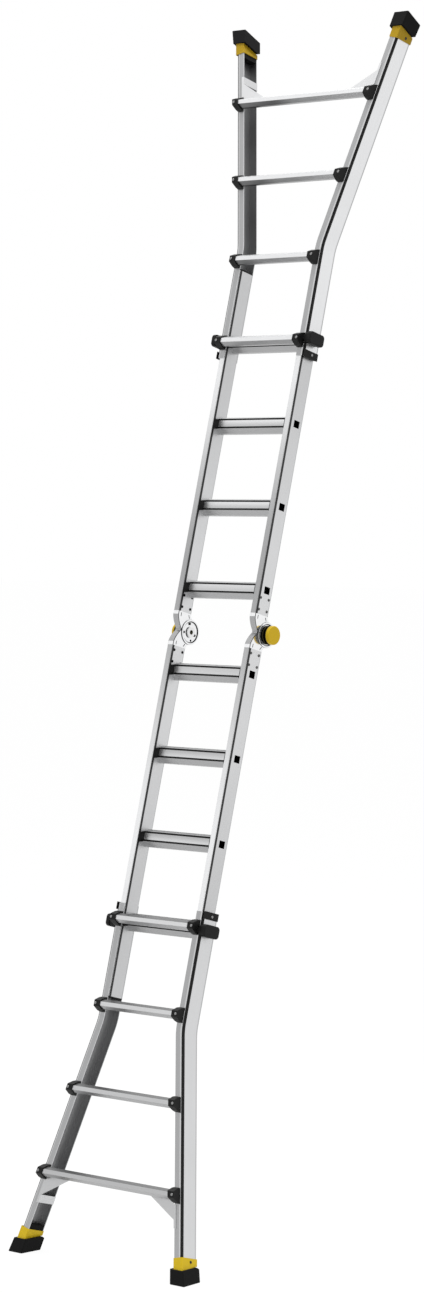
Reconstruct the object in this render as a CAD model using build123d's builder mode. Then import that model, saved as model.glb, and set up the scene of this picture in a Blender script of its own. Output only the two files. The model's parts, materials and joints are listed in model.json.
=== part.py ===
"""Hinged telescopic ladder, drawn out straight and leaning as it does against a wall.

The ladder is drawn upright first: X runs across it, Y from the climber to the wall and Z up the
stiles, with the hinge pivots at the height Z = 0. Every piece is drawn for the upper half and, where
it comes in pairs, for the right side; the lower half and the left side are mirror images. The last
step leans every piece back, so that the soles of the feet lie flat on the floor.
"""

import os
from math import cos, radians, sin, tan

from build123d import *

# Stance and rung spacing
LEAN_ANGLE = 15.0
PITCH = 280.0
RUNGS_PER_SECTION = 4

# Clearance of a piece in the seat that holds it, and of a rivet in its hole
FIT = 0.3
RIVET_PLAY = 0.05

# Inner stiles: rectangular tubes with a rebate down both front corners
INNER_HALF_WIDTH = 180.0
STILE_WIDTH = 22.5
STILE_DEPTH = 63.0
STILE_WALL = 2.0
STILE_REBATE = 3.0
STILE_ROUND = 2.0
INNER_OVERLAP = 250.0
LOCK_HOLE_WIDTH = 27.0
LOCK_HOLE_HEIGHT = 24.0
LOCK_HOLE_Y = 36.0
PLUG_FLANGE = 5.0
PLUG_TONGUE = 30.0

# Inner rungs, set back between the stiles, from the lowest edge up to the tread
RUNG_FRONT_Y = 25.0
RUNG_DEPTH = 32.0
RUNG_BELOW_CENTRE = 29.0
RUNG_FACET_HEIGHT = 16.0
RUNG_FACET_DEPTH = 10.0
RUNG_GROOVE_HEIGHT = 6.0
RUNG_GROOVE_DEPTH = 4.0
RUNG_BAND_HEIGHT = 21.5
RUNG_NOSE_HEIGHT = 2.0
RUNG_CHAMFER = 8.0
RUNG_WALL = 2.2
TREAD_RIBS = 5
TREAD_RIB_WIDTH = 2.0
TREAD_RIB_HEIGHT = 1.0
END_BLOCK_THICKNESS = 4.0

# Outer stiles: channels that are open towards the middle of the ladder
SLIDE_CLEARANCE = 0.8
SIDE_GAP = 8.3
LIP_SETBACK = 2.0
CHANNEL_WALL = 2.5
CORNER_RECESS_WIDTH = 7.8
CORNER_RECESS_DEPTH = 8.0
CHANNEL_FRONT_ROUND = 2.0
CHANNEL_REAR_ROUND = 3.0
CHANNEL_RIB_WIDTH = 2.0
CHANNEL_RIB_HEIGHT = 1.5
CHANNEL_RIB_SPACING = 9.0
OUTER_LEAD = 56.0
BEND_BEYOND_LOCK = 326.0
BEND_RADIUS = 200.0
FLARE_ANGLE = 13.0

# Outer rungs and their brackets, in front of the stiles
OUTER_RUNG_DEPTH = 29.0
OUTER_RUNG_NOSE = 14.0
OUTER_RUNG_HEIGHT = 32.0
OUTER_RUNG_SHOULDER = 17.0
OUTER_RUNG_WALL = 2.0
OUTER_RUNG_ROUND = 1.5
SOCKET_DEPTH = 12.0
BRACKET_FRONT_WALL = 2.5
BRACKET_NOSE_WALL = 3.0
BRACKET_WAIST_WALL = 5.0
BRACKET_ROOT_WALL = 9.0
BRACKET_OVERHANG = 1.0
BRACKET_ROUND = 2.0
LOCK_RUNG_SHIFT = 4.0

# Locks: housing on the stile, handle that caps it and pin through both
LOCK_TRAVEL = 11.0
HOUSING_FORWARD = 9.7
HOUSING_MARGIN = 6.0
HOUSING_SHOULDER = 7.0
HOUSING_SHIFT = 4.0
HOUSING_CORNER = 9.0
HANDLE_WALL = 2.6
HANDLE_FACE = 3.0
HANDLE_RIM_GAP = 0.8
HANDLE_OVERLAP = 12.0
HANDLE_EDGE = 3.5
PIN_PLAY = 1.5
PIN_BORE_PLAY = 0.4
PIN_TIP_GAP = 3.0
PIN_TIP_CHAMFER = 1.0

# End guides at the mouth of the outer stile
GUIDE_PLATE = 2.5
GUIDE_HEIGHT = 22.0
GLIDE_PAD_HEIGHT = 38.0
GLIDE_PAD_MARGIN = 3.0
GLIDE_CLEARANCE = 0.8

# Feet: collar, and rubber pad with a plug up the stile
COLLAR_BEYOND_RUNG = 188.0
COLLAR_WALL = 2.2
COLLAR_ROUND = 3.0
COLLAR_RIVET_DROP = 12.0
FOOT_LENGTH = 83.0
PAD_HEIGHT = 47.0
PAD_INNER_SIDE = 13.0
PAD_OUTER_SIDE = 10.5
PAD_SPREAD_ANGLE = 5.0
PAD_FRONT = 7.5
PAD_REAR_GAP = 1.0
PAD_ROUND = 4.0
PAD_HEEL_DEPTH = 14.0
PAD_HEEL_HEIGHT = 8.0
PAD_PLUG_RISE = 16.0
PAD_PLUG_CLEARANCE = 0.6
PAD_SOLE_ROUND = 2.0
PAD_SOLE_MARGIN = 9.0
WALL_PAD_MARGIN = 14.0
WALL_PAD_HOLLOW = 24.0
TREAD_GROOVES = 4
TREAD_GROOVE_WIDTH = 4.0
TREAD_GROOVE_DEPTH = 3.0

# Corner braces behind the end rungs
BRACE_THICKNESS = 2.0
BRACE_REACH = 100.0
BRACE_DROP = 102.0
BRACE_TAB = 7.0
BRACE_STRAP_HEIGHT = 26.0
BRACE_RUNG_OVERLAP = 5.0
BRACE_BRACKET_GAP = 3.0

# Hinges
FOLD_GAP = 5.7
DISC_RADIUS = 42.0
DISC_THICKNESS = 12.9
DISC_CLEARANCE = 0.6
DISC_PROUD_INSIDE = 3.0
DISC_PROUD_OUTSIDE = 2.5
DISC_RIM = 6.0
DISC_RECESS = 3.0
DISC_ROUND = 1.5
DISC_BOSS_RADIUS = 19.0
DISC_HOLE_RADIUS = 4.0
DISC_HOLE_CIRCLE = 28.0
DISC_HOLE_DEPTH = 5.0
DISC_HOLES = 2
DISC_HOLE_START = 110.0
KIDNEY_RADIUS = 23.0
KIDNEY_WIDTH = 9.0
KIDNEY_SWEEP = 80.0
KIDNEY_CENTRE = 190.0
ARM_BODY = 16.0
ARM_SHOULDER = 12.0
ARM_HEEL = 6.0
ARM_BEND_Y = 4.0
ARM_BEND_HEIGHT = 26.0
ARM_NOTCH_Y = 24.0
ARM_NOTCH_HEIGHT = 4.0
ARM_NOTCH_WIDTH = 10.0
ARM_STOP_GAP = 0.3
ARM_SLOT_LENGTH = 13.0
ARM_SLOT_WIDTH = 3.0
ARM_SLOT_DEPTH = 2.0
ARM_SLOT_DROP = 10.0
FRONT_SLOT_Y = 15.0
REAR_SLOT_EDGE = 8.5
REAR_SLOT_TILT = 32.0
RIVET_RADIUS = 3.0
RIVET_HEAD_RADIUS = 4.6
RIVET_HEAD = 1.8
RIVET_HEAD_ROUND = 1.2
RIVET_BLIND_DEPTH = 6.0
HINGE_RIVET_START = 15.0
HINGE_RIVET_PITCH = 39.0
HINGE_RIVET_MARGIN = 12.0
HINGE_RIVET_GAP = 0.9
HINGE_RIVET_EDGE = 10.5
PIVOT_RADIUS = 12.0
PIVOT_PLAY = 0.05
PIVOT_HEAD_RADIUS = 31.0
PIVOT_HEAD = 8.5
PIVOT_HEAD_ROUND = 1.5
PIVOT_RING_RADIUS = 17.0
PIVOT_RING = 2.5
KNOB_RADIUS = 31.0
KNOB_THICKNESS = 13.0
KNOB_ROUND = 4.0
KNOB_TRAVEL = 8.5
KNOB_REST_GAP = 1.0
KNOB_STEM_RADIUS = 7.5

# Heights above the hinge
INNER_RUNG_HEIGHTS = [PITCH * (k + 0.5) for k in range(RUNGS_PER_SECTION)]
LOCK_HEIGHT = INNER_RUNG_HEIGHTS[-1]
LOCK_RUNG_HEIGHT = LOCK_HEIGHT - LOCK_RUNG_SHIFT
OUTER_RUNG_HEIGHTS = [LOCK_HEIGHT + PITCH * (k + 1) for k in range(RUNGS_PER_SECTION - 1)]
END_RUNG_HEIGHT = OUTER_RUNG_HEIGHTS[-1]
INNER_START = DISC_RADIUS + ARM_BODY
INNER_END = LOCK_HEIGHT + INNER_OVERLAP
OUTER_START = LOCK_HEIGHT - OUTER_LEAD
BEND_HEIGHT = LOCK_HEIGHT + BEND_BEYOND_LOCK
COLLAR_TOP = END_RUNG_HEIGHT + COLLAR_BEYOND_RUNG
SOLE_HEIGHT = COLLAR_TOP + FOOT_LENGTH

# Places across the ladder
INNER_FACE_X = INNER_HALF_WIDTH - STILE_WIDTH
STILE_MID_X = INNER_HALF_WIDTH - STILE_WIDTH / 2
LIP_X = INNER_FACE_X + LIP_SETBACK
WEB_INSIDE_X = INNER_HALF_WIDTH + SIDE_GAP
WEB_OUTSIDE_X = WEB_INSIDE_X + CHANNEL_WALL
FLANGE_X = WEB_OUTSIDE_X - CORNER_RECESS_WIDTH
CHANNEL_MID_X = (LIP_X + WEB_OUTSIDE_X) / 2
HANDLE_START_X = WEB_OUTSIDE_X + LOCK_TRAVEL + 2 * HANDLE_RIM_GAP
HANDLE_END_X = HANDLE_START_X + HANDLE_OVERLAP + HANDLE_FACE
HOUSING_END_X = HANDLE_START_X - HANDLE_RIM_GAP
PIN_TIP_X = INNER_HALF_WIDTH + PIN_TIP_GAP
DISC_INSIDE_X = INNER_FACE_X - DISC_PROUD_INSIDE
DISC_SPLIT_X = DISC_INSIDE_X + DISC_THICKNESS
DISC_OUTSIDE_X = INNER_HALF_WIDTH + DISC_PROUD_OUTSIDE
KNOB_BACK_X = DISC_OUTSIDE_X + PIVOT_HEAD + KNOB_TRAVEL + KNOB_REST_GAP

# Places from front to rear
CHANNEL_FRONT_Y = -SLIDE_CLEARANCE - CHANNEL_WALL
CHANNEL_REAR_Y = STILE_DEPTH + SLIDE_CLEARANCE + CHANNEL_WALL
RECESS_Y = CHANNEL_FRONT_Y + CORNER_RECESS_DEPTH
PIVOT_Y = CHANNEL_REAR_Y + FOLD_GAP
OUTER_RUNG_REAR_Y = CHANNEL_FRONT_Y - BRACE_THICKNESS
OUTER_RUNG_FRONT_Y = OUTER_RUNG_REAR_Y - OUTER_RUNG_DEPTH
BRACKET_FRONT_Y = OUTER_RUNG_FRONT_Y - BRACKET_FRONT_WALL
HOUSING_FRONT_Y = CHANNEL_FRONT_Y - HOUSING_FORWARD
TONGUE_FRONT_Y = STILE_REBATE + STILE_WALL + FIT
TONGUE_REAR_Y = STILE_DEPTH - STILE_WALL - FIT
TONGUE_WIDTH = STILE_WIDTH - 2 * STILE_WALL - 2 * FIT

# Lock pin and its housing
PIN_WIDTH = LOCK_HOLE_WIDTH - 2 * PIN_PLAY
PIN_HEIGHT = LOCK_HOLE_HEIGHT - 2 * PIN_PLAY
HOUSING_REAR_Y = LOCK_HOLE_Y + PIN_WIDTH / 2 + HOUSING_MARGIN
HOUSING_WIDTH = HOUSING_REAR_Y - HOUSING_FRONT_Y
HOUSING_MID_Y = (HOUSING_REAR_Y + HOUSING_FRONT_Y) / 2
HOUSING_HEIGHT = PIN_HEIGHT + 2 * HOUSING_SHOULDER
HOUSING_MID_HEIGHT = LOCK_HEIGHT + HOUSING_SHIFT
HANDLE_CORNER = HOUSING_CORNER + FIT + HANDLE_WALL

# Rung section, measured from the rung's centre
RUNG_FACET_TOP = RUNG_FACET_HEIGHT - RUNG_BELOW_CENTRE
RUNG_BAND_BOTTOM = RUNG_FACET_TOP + RUNG_GROOVE_HEIGHT
RUNG_BAND_TOP = RUNG_BAND_BOTTOM + RUNG_BAND_HEIGHT
RUNG_NOSE_BOTTOM = RUNG_BAND_TOP + RUNG_GROOVE_HEIGHT
RUNG_TOP = RUNG_NOSE_BOTTOM + RUNG_NOSE_HEIGHT

# Rivets through the stile ends and the hinge arms
HINGE_RIVET_FRONT_Y = RECESS_Y + CHANNEL_WALL + RIVET_HEAD_RADIUS + HINGE_RIVET_GAP
HINGE_RIVET_REAR_Y = STILE_DEPTH - HINGE_RIVET_EDGE
FIRST_RIVET_HEIGHT = INNER_START + HINGE_RIVET_START
HINGE_RIVET_SPOTS = [
    (y, FIRST_RIVET_HEIGHT + row * HINGE_RIVET_PITCH)
    for y in (HINGE_RIVET_FRONT_Y, HINGE_RIVET_REAR_Y)
    for row in (0, 1)
]
TONGUE_LENGTH = HINGE_RIVET_START + HINGE_RIVET_PITCH + HINGE_RIVET_MARGIN


def along_stile(x, height):
    """Place at a height of the line that runs at x along the straight part of the outer stile."""
    if height <= BEND_HEIGHT:
        return x
    flare = radians(FLARE_ANGLE)
    return CHANNEL_MID_X + (height - BEND_HEIGHT) * tan(flare) + (x - CHANNEL_MID_X) / cos(flare)


def rise(depth):
    """Height gained over a depth by a surface that is level once the ladder leans."""
    return depth * tan(radians(LEAN_ANGLE))


def left(piece):
    """The left side's copy of a right-hand piece."""
    return mirror(piece, about=Plane.YZ)


def both_sides(piece):
    """A right-hand piece and its copy on the left."""
    return [piece, left(piece)]


def outline(points):
    """Add a face with straight sides to the open sketch, at the places given."""
    Polygon(*points, align=None)


def rail_plane(height):
    """Plane square to the flared right stile: X across it, Y to the rear, Z along it."""
    flare = radians(FLARE_ANGLE)
    return Plane(
        origin=(along_stile(CHANNEL_MID_X, height), 0, height),
        x_dir=(cos(flare), 0, -sin(flare)),
        z_dir=(sin(flare), 0, cos(flare)),
    )


def level_plane(height, y=0.0):
    """Plane that lies level once the ladder leans on its end, through a height at a depth y."""
    lean = radians(LEAN_ANGLE)
    return Plane(origin=(0, y, height), x_dir=(1, 0, 0), z_dir=(0, sin(lean), cos(lean)))


def bracket_rivet_plane(height):
    """Plane of the rivet head on the front of the right bracket at a height."""
    socket_end = along_stile(LIP_X, height) - BRACKET_OVERHANG + SOCKET_DEPTH
    middle = (socket_end + along_stile(FLANGE_X, height)) / 2
    return Plane(origin=(middle, BRACKET_FRONT_Y, height), x_dir=(1, 0, 0), z_dir=(0, -1, 0))


def guide_rivet_plane():
    """Plane of the rivet head on the right end guide."""
    place = (WEB_OUTSIDE_X + GUIDE_PLATE, LOCK_HOLE_Y, OUTER_START + GUIDE_HEIGHT / 2)
    return Plane(origin=place, x_dir=(0, 1, 0), z_dir=(1, 0, 0))


def collar_rivet_plane():
    """Plane of the rivet head on the outer side of the right foot collar."""
    rail = rail_plane(COLLAR_TOP)
    side = WEB_OUTSIDE_X - CHANNEL_MID_X + FIT + COLLAR_WALL
    place = rail.from_local_coords((side, LOCK_HOLE_Y, COLLAR_RIVET_DROP))
    return Plane(origin=place, x_dir=(0, 1, 0), z_dir=rail.x_dir)


# Sole of the foot pads
PAD_FRONT_Y = CHANNEL_FRONT_Y - PAD_FRONT
PAD_REAR_Y = PIVOT_Y - PAD_REAR_GAP
PAD_MID_Y = (PAD_FRONT_Y + PAD_REAR_Y) / 2
SOLE_SPREAD = PAD_HEIGHT * tan(radians(PAD_SPREAD_ANGLE))
SOLE_WIDTH = WEB_OUTSIDE_X - LIP_X + PAD_INNER_SIDE + PAD_OUTER_SIDE + SOLE_SPREAD
SOLE_SHIFT = (PAD_OUTER_SIDE + SOLE_SPREAD - PAD_INNER_SIDE) / 2
SOLE_LENGTH = (PAD_REAR_Y - PAD_FRONT_Y) / cos(radians(LEAN_ANGLE))
SOLE_MID_X = along_stile(CHANNEL_MID_X + SOLE_SHIFT, SOLE_HEIGHT - rise(PAD_MID_Y))

# Shanks of the rivets
GUIDE_RIVET_SHANK = GUIDE_PLATE + CHANNEL_WALL
COLLAR_RIVET_SHANK = COLLAR_WALL + FIT + CHANNEL_WALL


def inner_stile():
    """Right inner stile: a tube with a lock hole at every rung and rivet holes for the hinge."""
    with BuildPart() as stile:
        with BuildSketch(Plane.XY.offset(INNER_START)) as section:
            with Locations((STILE_MID_X, STILE_DEPTH / 2)):
                Rectangle(STILE_WIDTH, STILE_DEPTH)
            fillet(section.vertices().group_by(Axis.Y)[-1], STILE_ROUND)
            with Locations((INNER_FACE_X, 0), (INNER_HALF_WIDTH, 0)):
                Rectangle(2 * STILE_REBATE, 2 * STILE_REBATE, mode=Mode.SUBTRACT)
            offset(amount=-STILE_WALL, kind=Kind.INTERSECTION, mode=Mode.SUBTRACT)
        extrude(amount=INNER_END - INNER_START)
        with BuildSketch(Plane.YZ.offset(INNER_HALF_WIDTH)):
            with Locations(*[(LOCK_HOLE_Y, height) for height in INNER_RUNG_HEIGHTS]):
                Rectangle(LOCK_HOLE_WIDTH, LOCK_HOLE_HEIGHT)
        extrude(amount=-STILE_WALL, mode=Mode.SUBTRACT)
        with BuildSketch(Plane.YZ.offset(INNER_FACE_X)):
            with Locations(*HINGE_RIVET_SPOTS):
                Circle(RIVET_RADIUS)
        extrude(amount=STILE_WIDTH, mode=Mode.SUBTRACT)
    return stile.part


def inner_rung(height):
    """Inner rung: level ribbed tread, a band between two grooves at the front, hollow inside."""
    rear_y = RUNG_FRONT_Y + RUNG_DEPTH
    groove_y = RUNG_FRONT_Y + RUNG_GROOVE_DEPTH
    facet_y = RUNG_FRONT_Y + RUNG_FACET_DEPTH
    bottom = height - RUNG_BELOW_CENTRE
    top = height + RUNG_TOP
    cavity_y = groove_y + RUNG_WALL
    lean = radians(LEAN_ANGLE)
    tread = Plane(origin=(0, RUNG_FRONT_Y, top), x_dir=(1, 0, 0), z_dir=(0, -sin(lean), cos(lean)))
    with BuildPart() as rung:
        with BuildSketch(Plane.YZ.offset(-INNER_FACE_X)):
            outline([
                (RUNG_FRONT_Y, top),
                (RUNG_FRONT_Y, height + RUNG_NOSE_BOTTOM),
                (groove_y, height + RUNG_NOSE_BOTTOM),
                (groove_y, height + RUNG_BAND_TOP),
                (RUNG_FRONT_Y, height + RUNG_BAND_TOP),
                (RUNG_FRONT_Y, height + RUNG_BAND_BOTTOM),
                (groove_y, height + RUNG_BAND_BOTTOM),
                (groove_y, height + RUNG_FACET_TOP),
                (RUNG_FRONT_Y, height + RUNG_FACET_TOP),
                (facet_y, bottom),
                (rear_y - RUNG_CHAMFER, bottom),
                (rear_y, bottom + RUNG_CHAMFER),
                (rear_y, top + rise(RUNG_DEPTH)),
            ])
        extrude(amount=2 * INNER_FACE_X)
        with BuildSketch(Plane.YZ.offset(-INNER_FACE_X)):
            outline([
                (cavity_y, height + RUNG_FACET_TOP),
                (cavity_y, top - RUNG_WALL + rise(cavity_y - RUNG_FRONT_Y)),
                (rear_y - RUNG_WALL, top - RUNG_WALL + rise(RUNG_DEPTH - RUNG_WALL)),
                (rear_y - RUNG_WALL, bottom + RUNG_CHAMFER),
                (rear_y - RUNG_CHAMFER, bottom + RUNG_WALL),
                (facet_y + RUNG_WALL, bottom + RUNG_WALL),
            ])
        extrude(amount=2 * INNER_FACE_X, mode=Mode.SUBTRACT)
        with BuildSketch(tread):
            rib_step = RUNG_DEPTH / (TREAD_RIBS + 1)
            with Locations(*[(0, rib_step * (k + 1)) for k in range(TREAD_RIBS)]):
                Rectangle(2 * INNER_FACE_X, TREAD_RIB_WIDTH)
        extrude(amount=TREAD_RIB_HEIGHT)
    return rung.part


def rung_end_block(height):
    """Right block in front of an inner rung's end, level once the ladder leans."""
    front_y = STILE_REBATE
    back_y = RUNG_FRONT_Y - FIT
    groove_y = RUNG_FRONT_Y + RUNG_GROOVE_DEPTH
    with BuildPart() as block:
        with BuildSketch(Plane.YZ.offset(INNER_FACE_X - END_BLOCK_THICKNESS)):
            outline([
                (front_y, height + RUNG_NOSE_BOTTOM + rise(front_y - groove_y)),
                (front_y, height + RUNG_FACET_TOP + rise(front_y - groove_y)),
                (back_y, height + RUNG_FACET_TOP + rise(back_y - groove_y)),
                (back_y, height + RUNG_NOSE_BOTTOM + rise(back_y - groove_y)),
            ])
        extrude(amount=END_BLOCK_THICKNESS)
    return block.part


def end_plug():
    """Plug in the far end of the right inner stile."""
    with BuildPart() as plug:
        with BuildSketch(Plane.XY.offset(INNER_END)):
            with Locations((STILE_MID_X, STILE_DEPTH / 2)):
                Rectangle(STILE_WIDTH, STILE_DEPTH)
        extrude(amount=PLUG_FLANGE)
        with BuildSketch(Plane.XY.offset(INNER_END)):
            with Locations((STILE_MID_X, (TONGUE_FRONT_Y + TONGUE_REAR_Y) / 2)):
                Rectangle(TONGUE_WIDTH, TONGUE_REAR_Y - TONGUE_FRONT_Y)
        extrude(amount=-PLUG_TONGUE)
    return plug.part


def channel_points():
    """Cross-section of the right outer stile, as X and Y."""
    rib_x = WEB_INSIDE_X - CHANNEL_RIB_HEIGHT
    ribs = []
    for side in (1, -1):
        rib_y = (STILE_DEPTH + side * CHANNEL_RIB_SPACING) / 2
        near, far = rib_y + CHANNEL_RIB_WIDTH / 2, rib_y - CHANNEL_RIB_WIDTH / 2
        ribs += [(WEB_INSIDE_X, near), (rib_x, near), (rib_x, far), (WEB_INSIDE_X, far)]
    return [
        (LIP_X, CHANNEL_FRONT_Y),
        (FLANGE_X, CHANNEL_FRONT_Y),
        (FLANGE_X, RECESS_Y),
        (WEB_OUTSIDE_X, RECESS_Y),
        (WEB_OUTSIDE_X, CHANNEL_REAR_Y),
        (LIP_X, CHANNEL_REAR_Y),
        (LIP_X, CHANNEL_REAR_Y - CHANNEL_WALL),
        (WEB_INSIDE_X, CHANNEL_REAR_Y - CHANNEL_WALL),
        *ribs,
        (WEB_INSIDE_X, RECESS_Y + CHANNEL_WALL),
        (FLANGE_X - CHANNEL_WALL, RECESS_Y + CHANNEL_WALL),
        (FLANGE_X - CHANNEL_WALL, CHANNEL_FRONT_Y + CHANNEL_WALL),
        (LIP_X, CHANNEL_FRONT_Y + CHANNEL_WALL),
    ]


def outer_stile():
    """Right outer stile: the channel run straight, round the bend and out to the foot."""
    with BuildPart() as stile:
        with BuildLine(Plane.XZ):
            FilletPolyline(
                (CHANNEL_MID_X, OUTER_START),
                (CHANNEL_MID_X, BEND_HEIGHT),
                (along_stile(CHANNEL_MID_X, SOLE_HEIGHT), SOLE_HEIGHT),
                radius=BEND_RADIUS,
            )
        with BuildSketch(Plane.XY.offset(OUTER_START)) as section:
            outline(channel_points())
            front_edge = section.vertices().sort_by_distance((FLANGE_X, CHANNEL_FRONT_Y, OUTER_START))[0]
            fillet(front_edge, CHANNEL_FRONT_ROUND)
            rear_edge = section.vertices().sort_by_distance((WEB_OUTSIDE_X, CHANNEL_REAR_Y, OUTER_START))[0]
            fillet(rear_edge, CHANNEL_REAR_ROUND)
        sweep()
        split(bisect_by=level_plane(SOLE_HEIGHT - PAD_HEIGHT), keep=Keep.BOTTOM)
        with BuildSketch(Plane.YZ.offset(WEB_OUTSIDE_X)):
            with Locations((LOCK_HOLE_Y, LOCK_HEIGHT)):
                Rectangle(LOCK_HOLE_WIDTH, LOCK_HOLE_HEIGHT)
        extrude(amount=-CHANNEL_WALL - CHANNEL_RIB_HEIGHT, mode=Mode.SUBTRACT)
        with BuildSketch(guide_rivet_plane()):
            Circle(RIVET_RADIUS)
        extrude(amount=-GUIDE_RIVET_SHANK, mode=Mode.SUBTRACT)
        with BuildSketch(collar_rivet_plane()):
            Circle(RIVET_RADIUS)
        extrude(amount=-COLLAR_RIVET_SHANK, mode=Mode.SUBTRACT)
    return stile.part


def outer_rung_points(height):
    """Cross-section of an outer rung, as Y and Z: a wedge that narrows towards the climber."""
    shoulder_y = OUTER_RUNG_FRONT_Y + OUTER_RUNG_SHOULDER
    return [
        (OUTER_RUNG_FRONT_Y, height + OUTER_RUNG_NOSE / 2),
        (OUTER_RUNG_FRONT_Y, height - OUTER_RUNG_NOSE / 2),
        (shoulder_y, height - OUTER_RUNG_HEIGHT / 2),
        (OUTER_RUNG_REAR_Y, height - OUTER_RUNG_HEIGHT / 2),
        (OUTER_RUNG_REAR_Y, height + OUTER_RUNG_HEIGHT / 2),
        (shoulder_y, height + OUTER_RUNG_HEIGHT / 2),
    ]


def outer_rung(height):
    """Outer rung: a hollow wedge whose ends sit in the brackets."""
    half_length = along_stile(LIP_X, height) - BRACKET_OVERHANG + SOCKET_DEPTH - FIT
    with BuildPart() as rung:
        with BuildSketch(Plane.YZ.offset(-half_length)) as section:
            outline(outer_rung_points(height))
            fillet(section.vertices(), OUTER_RUNG_ROUND)
            offset(amount=-OUTER_RUNG_WALL, mode=Mode.SUBTRACT)
        extrude(amount=2 * half_length)
    return rung.part


def rung_bracket(height):
    """Right bracket of a rung: a wedge along the stile with a socket for the rung's end."""
    nose = OUTER_RUNG_NOSE / 2 + BRACKET_NOSE_WALL
    waist = OUTER_RUNG_HEIGHT / 2 + BRACKET_WAIST_WALL
    root = OUTER_RUNG_HEIGHT / 2 + BRACKET_ROOT_WALL
    waist_y = OUTER_RUNG_FRONT_Y + OUTER_RUNG_SHOULDER
    low, high = height - root, height + root
    low_x = along_stile(LIP_X, low) - BRACKET_OVERHANG
    high_x = along_stile(LIP_X, high) - BRACKET_OVERHANG
    socket_end = along_stile(LIP_X, height) - BRACKET_OVERHANG + SOCKET_DEPTH
    with BuildPart() as bracket:
        with BuildSketch(Plane.XZ.offset(-BRACKET_FRONT_Y)):
            outline([
                (low_x, low),
                (along_stile(FLANGE_X, low), low),
                (along_stile(FLANGE_X, high), high),
                (high_x, high),
            ])
        extrude(amount=BRACKET_FRONT_Y - CHANNEL_FRONT_Y)
        with BuildSketch(Plane.YZ.offset(low_x)) as side:
            outline([
                (BRACKET_FRONT_Y, height + nose),
                (BRACKET_FRONT_Y, height - nose),
                (waist_y, height - waist),
                (CHANNEL_FRONT_Y, low),
                (CHANNEL_FRONT_Y, high),
                (waist_y, height + waist),
            ])
            fillet(side.vertices().group_by(Axis.Y)[0], BRACKET_ROUND)
        extrude(amount=along_stile(FLANGE_X, high) - low_x, mode=Mode.INTERSECT)
        with BuildSketch(Plane.YZ.offset(low_x)):
            outline(outer_rung_points(height))
            offset(amount=FIT, kind=Kind.INTERSECTION)
        extrude(amount=socket_end - low_x, mode=Mode.SUBTRACT)
        with BuildSketch(bracket_rivet_plane(height)):
            Circle(RIVET_RADIUS)
        extrude(amount=-RIVET_BLIND_DEPTH, mode=Mode.SUBTRACT)
    return bracket.part


def lock_bracket():
    """Right bracket of the lock rung, with the housing that guides the lock pin."""
    bracket = rung_bracket(LOCK_RUNG_HEIGHT)
    with BuildPart() as lock:
        add(bracket)
        with BuildSketch(Plane.YZ.offset(FLANGE_X)):
            with Locations(((HOUSING_FRONT_Y + CHANNEL_FRONT_Y) / 2, HOUSING_MID_HEIGHT)):
                Rectangle(CHANNEL_FRONT_Y - HOUSING_FRONT_Y, HOUSING_HEIGHT - 2 * HOUSING_CORNER)
        extrude(amount=WEB_OUTSIDE_X - FLANGE_X)
        with BuildSketch(Plane.YZ.offset(WEB_OUTSIDE_X)):
            with Locations((HOUSING_MID_Y, HOUSING_MID_HEIGHT)):
                RectangleRounded(HOUSING_WIDTH, HOUSING_HEIGHT, HOUSING_CORNER)
        extrude(amount=HOUSING_END_X - WEB_OUTSIDE_X)
        with BuildSketch(Plane.YZ.offset(WEB_OUTSIDE_X)):
            with Locations((LOCK_HOLE_Y, LOCK_HEIGHT)):
                Rectangle(PIN_WIDTH + 2 * PIN_BORE_PLAY, PIN_HEIGHT + 2 * PIN_BORE_PLAY)
        extrude(amount=HOUSING_END_X - WEB_OUTSIDE_X, mode=Mode.SUBTRACT)
    return lock.part


def lock_handle():
    """Right lock handle: a cap that slides over the housing as the pin goes home."""
    grow = 2 * (FIT + HANDLE_WALL)
    with BuildPart() as handle:
        with BuildSketch(Plane.YZ.offset(HANDLE_START_X)):
            with Locations((HOUSING_MID_Y, HOUSING_MID_HEIGHT)):
                RectangleRounded(HOUSING_WIDTH + grow, HOUSING_HEIGHT + grow, HANDLE_CORNER)
        extrude(amount=HANDLE_END_X - HANDLE_START_X)
        fillet(handle.faces().sort_by(Axis.X)[-1].edges(), HANDLE_EDGE)
        with BuildSketch(Plane.YZ.offset(HANDLE_START_X)):
            with Locations((HOUSING_MID_Y, HOUSING_MID_HEIGHT)):
                RectangleRounded(HOUSING_WIDTH + 2 * FIT, HOUSING_HEIGHT + 2 * FIT, HOUSING_CORNER + FIT)
        extrude(amount=HANDLE_OVERLAP, mode=Mode.SUBTRACT)
    return handle.part


def lock_pin():
    """Right lock pin, fixed in the handle, with its tip just clear of the inner stile."""
    with BuildPart() as pin:
        with BuildSketch(Plane.YZ.offset(PIN_TIP_X)):
            with Locations((LOCK_HOLE_Y, LOCK_HEIGHT)):
                Rectangle(PIN_WIDTH, PIN_HEIGHT)
        extrude(amount=HANDLE_START_X + HANDLE_OVERLAP - PIN_TIP_X)
        chamfer(pin.faces().sort_by(Axis.X)[0].edges(), PIN_TIP_CHAMFER)
    return pin.part


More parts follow.
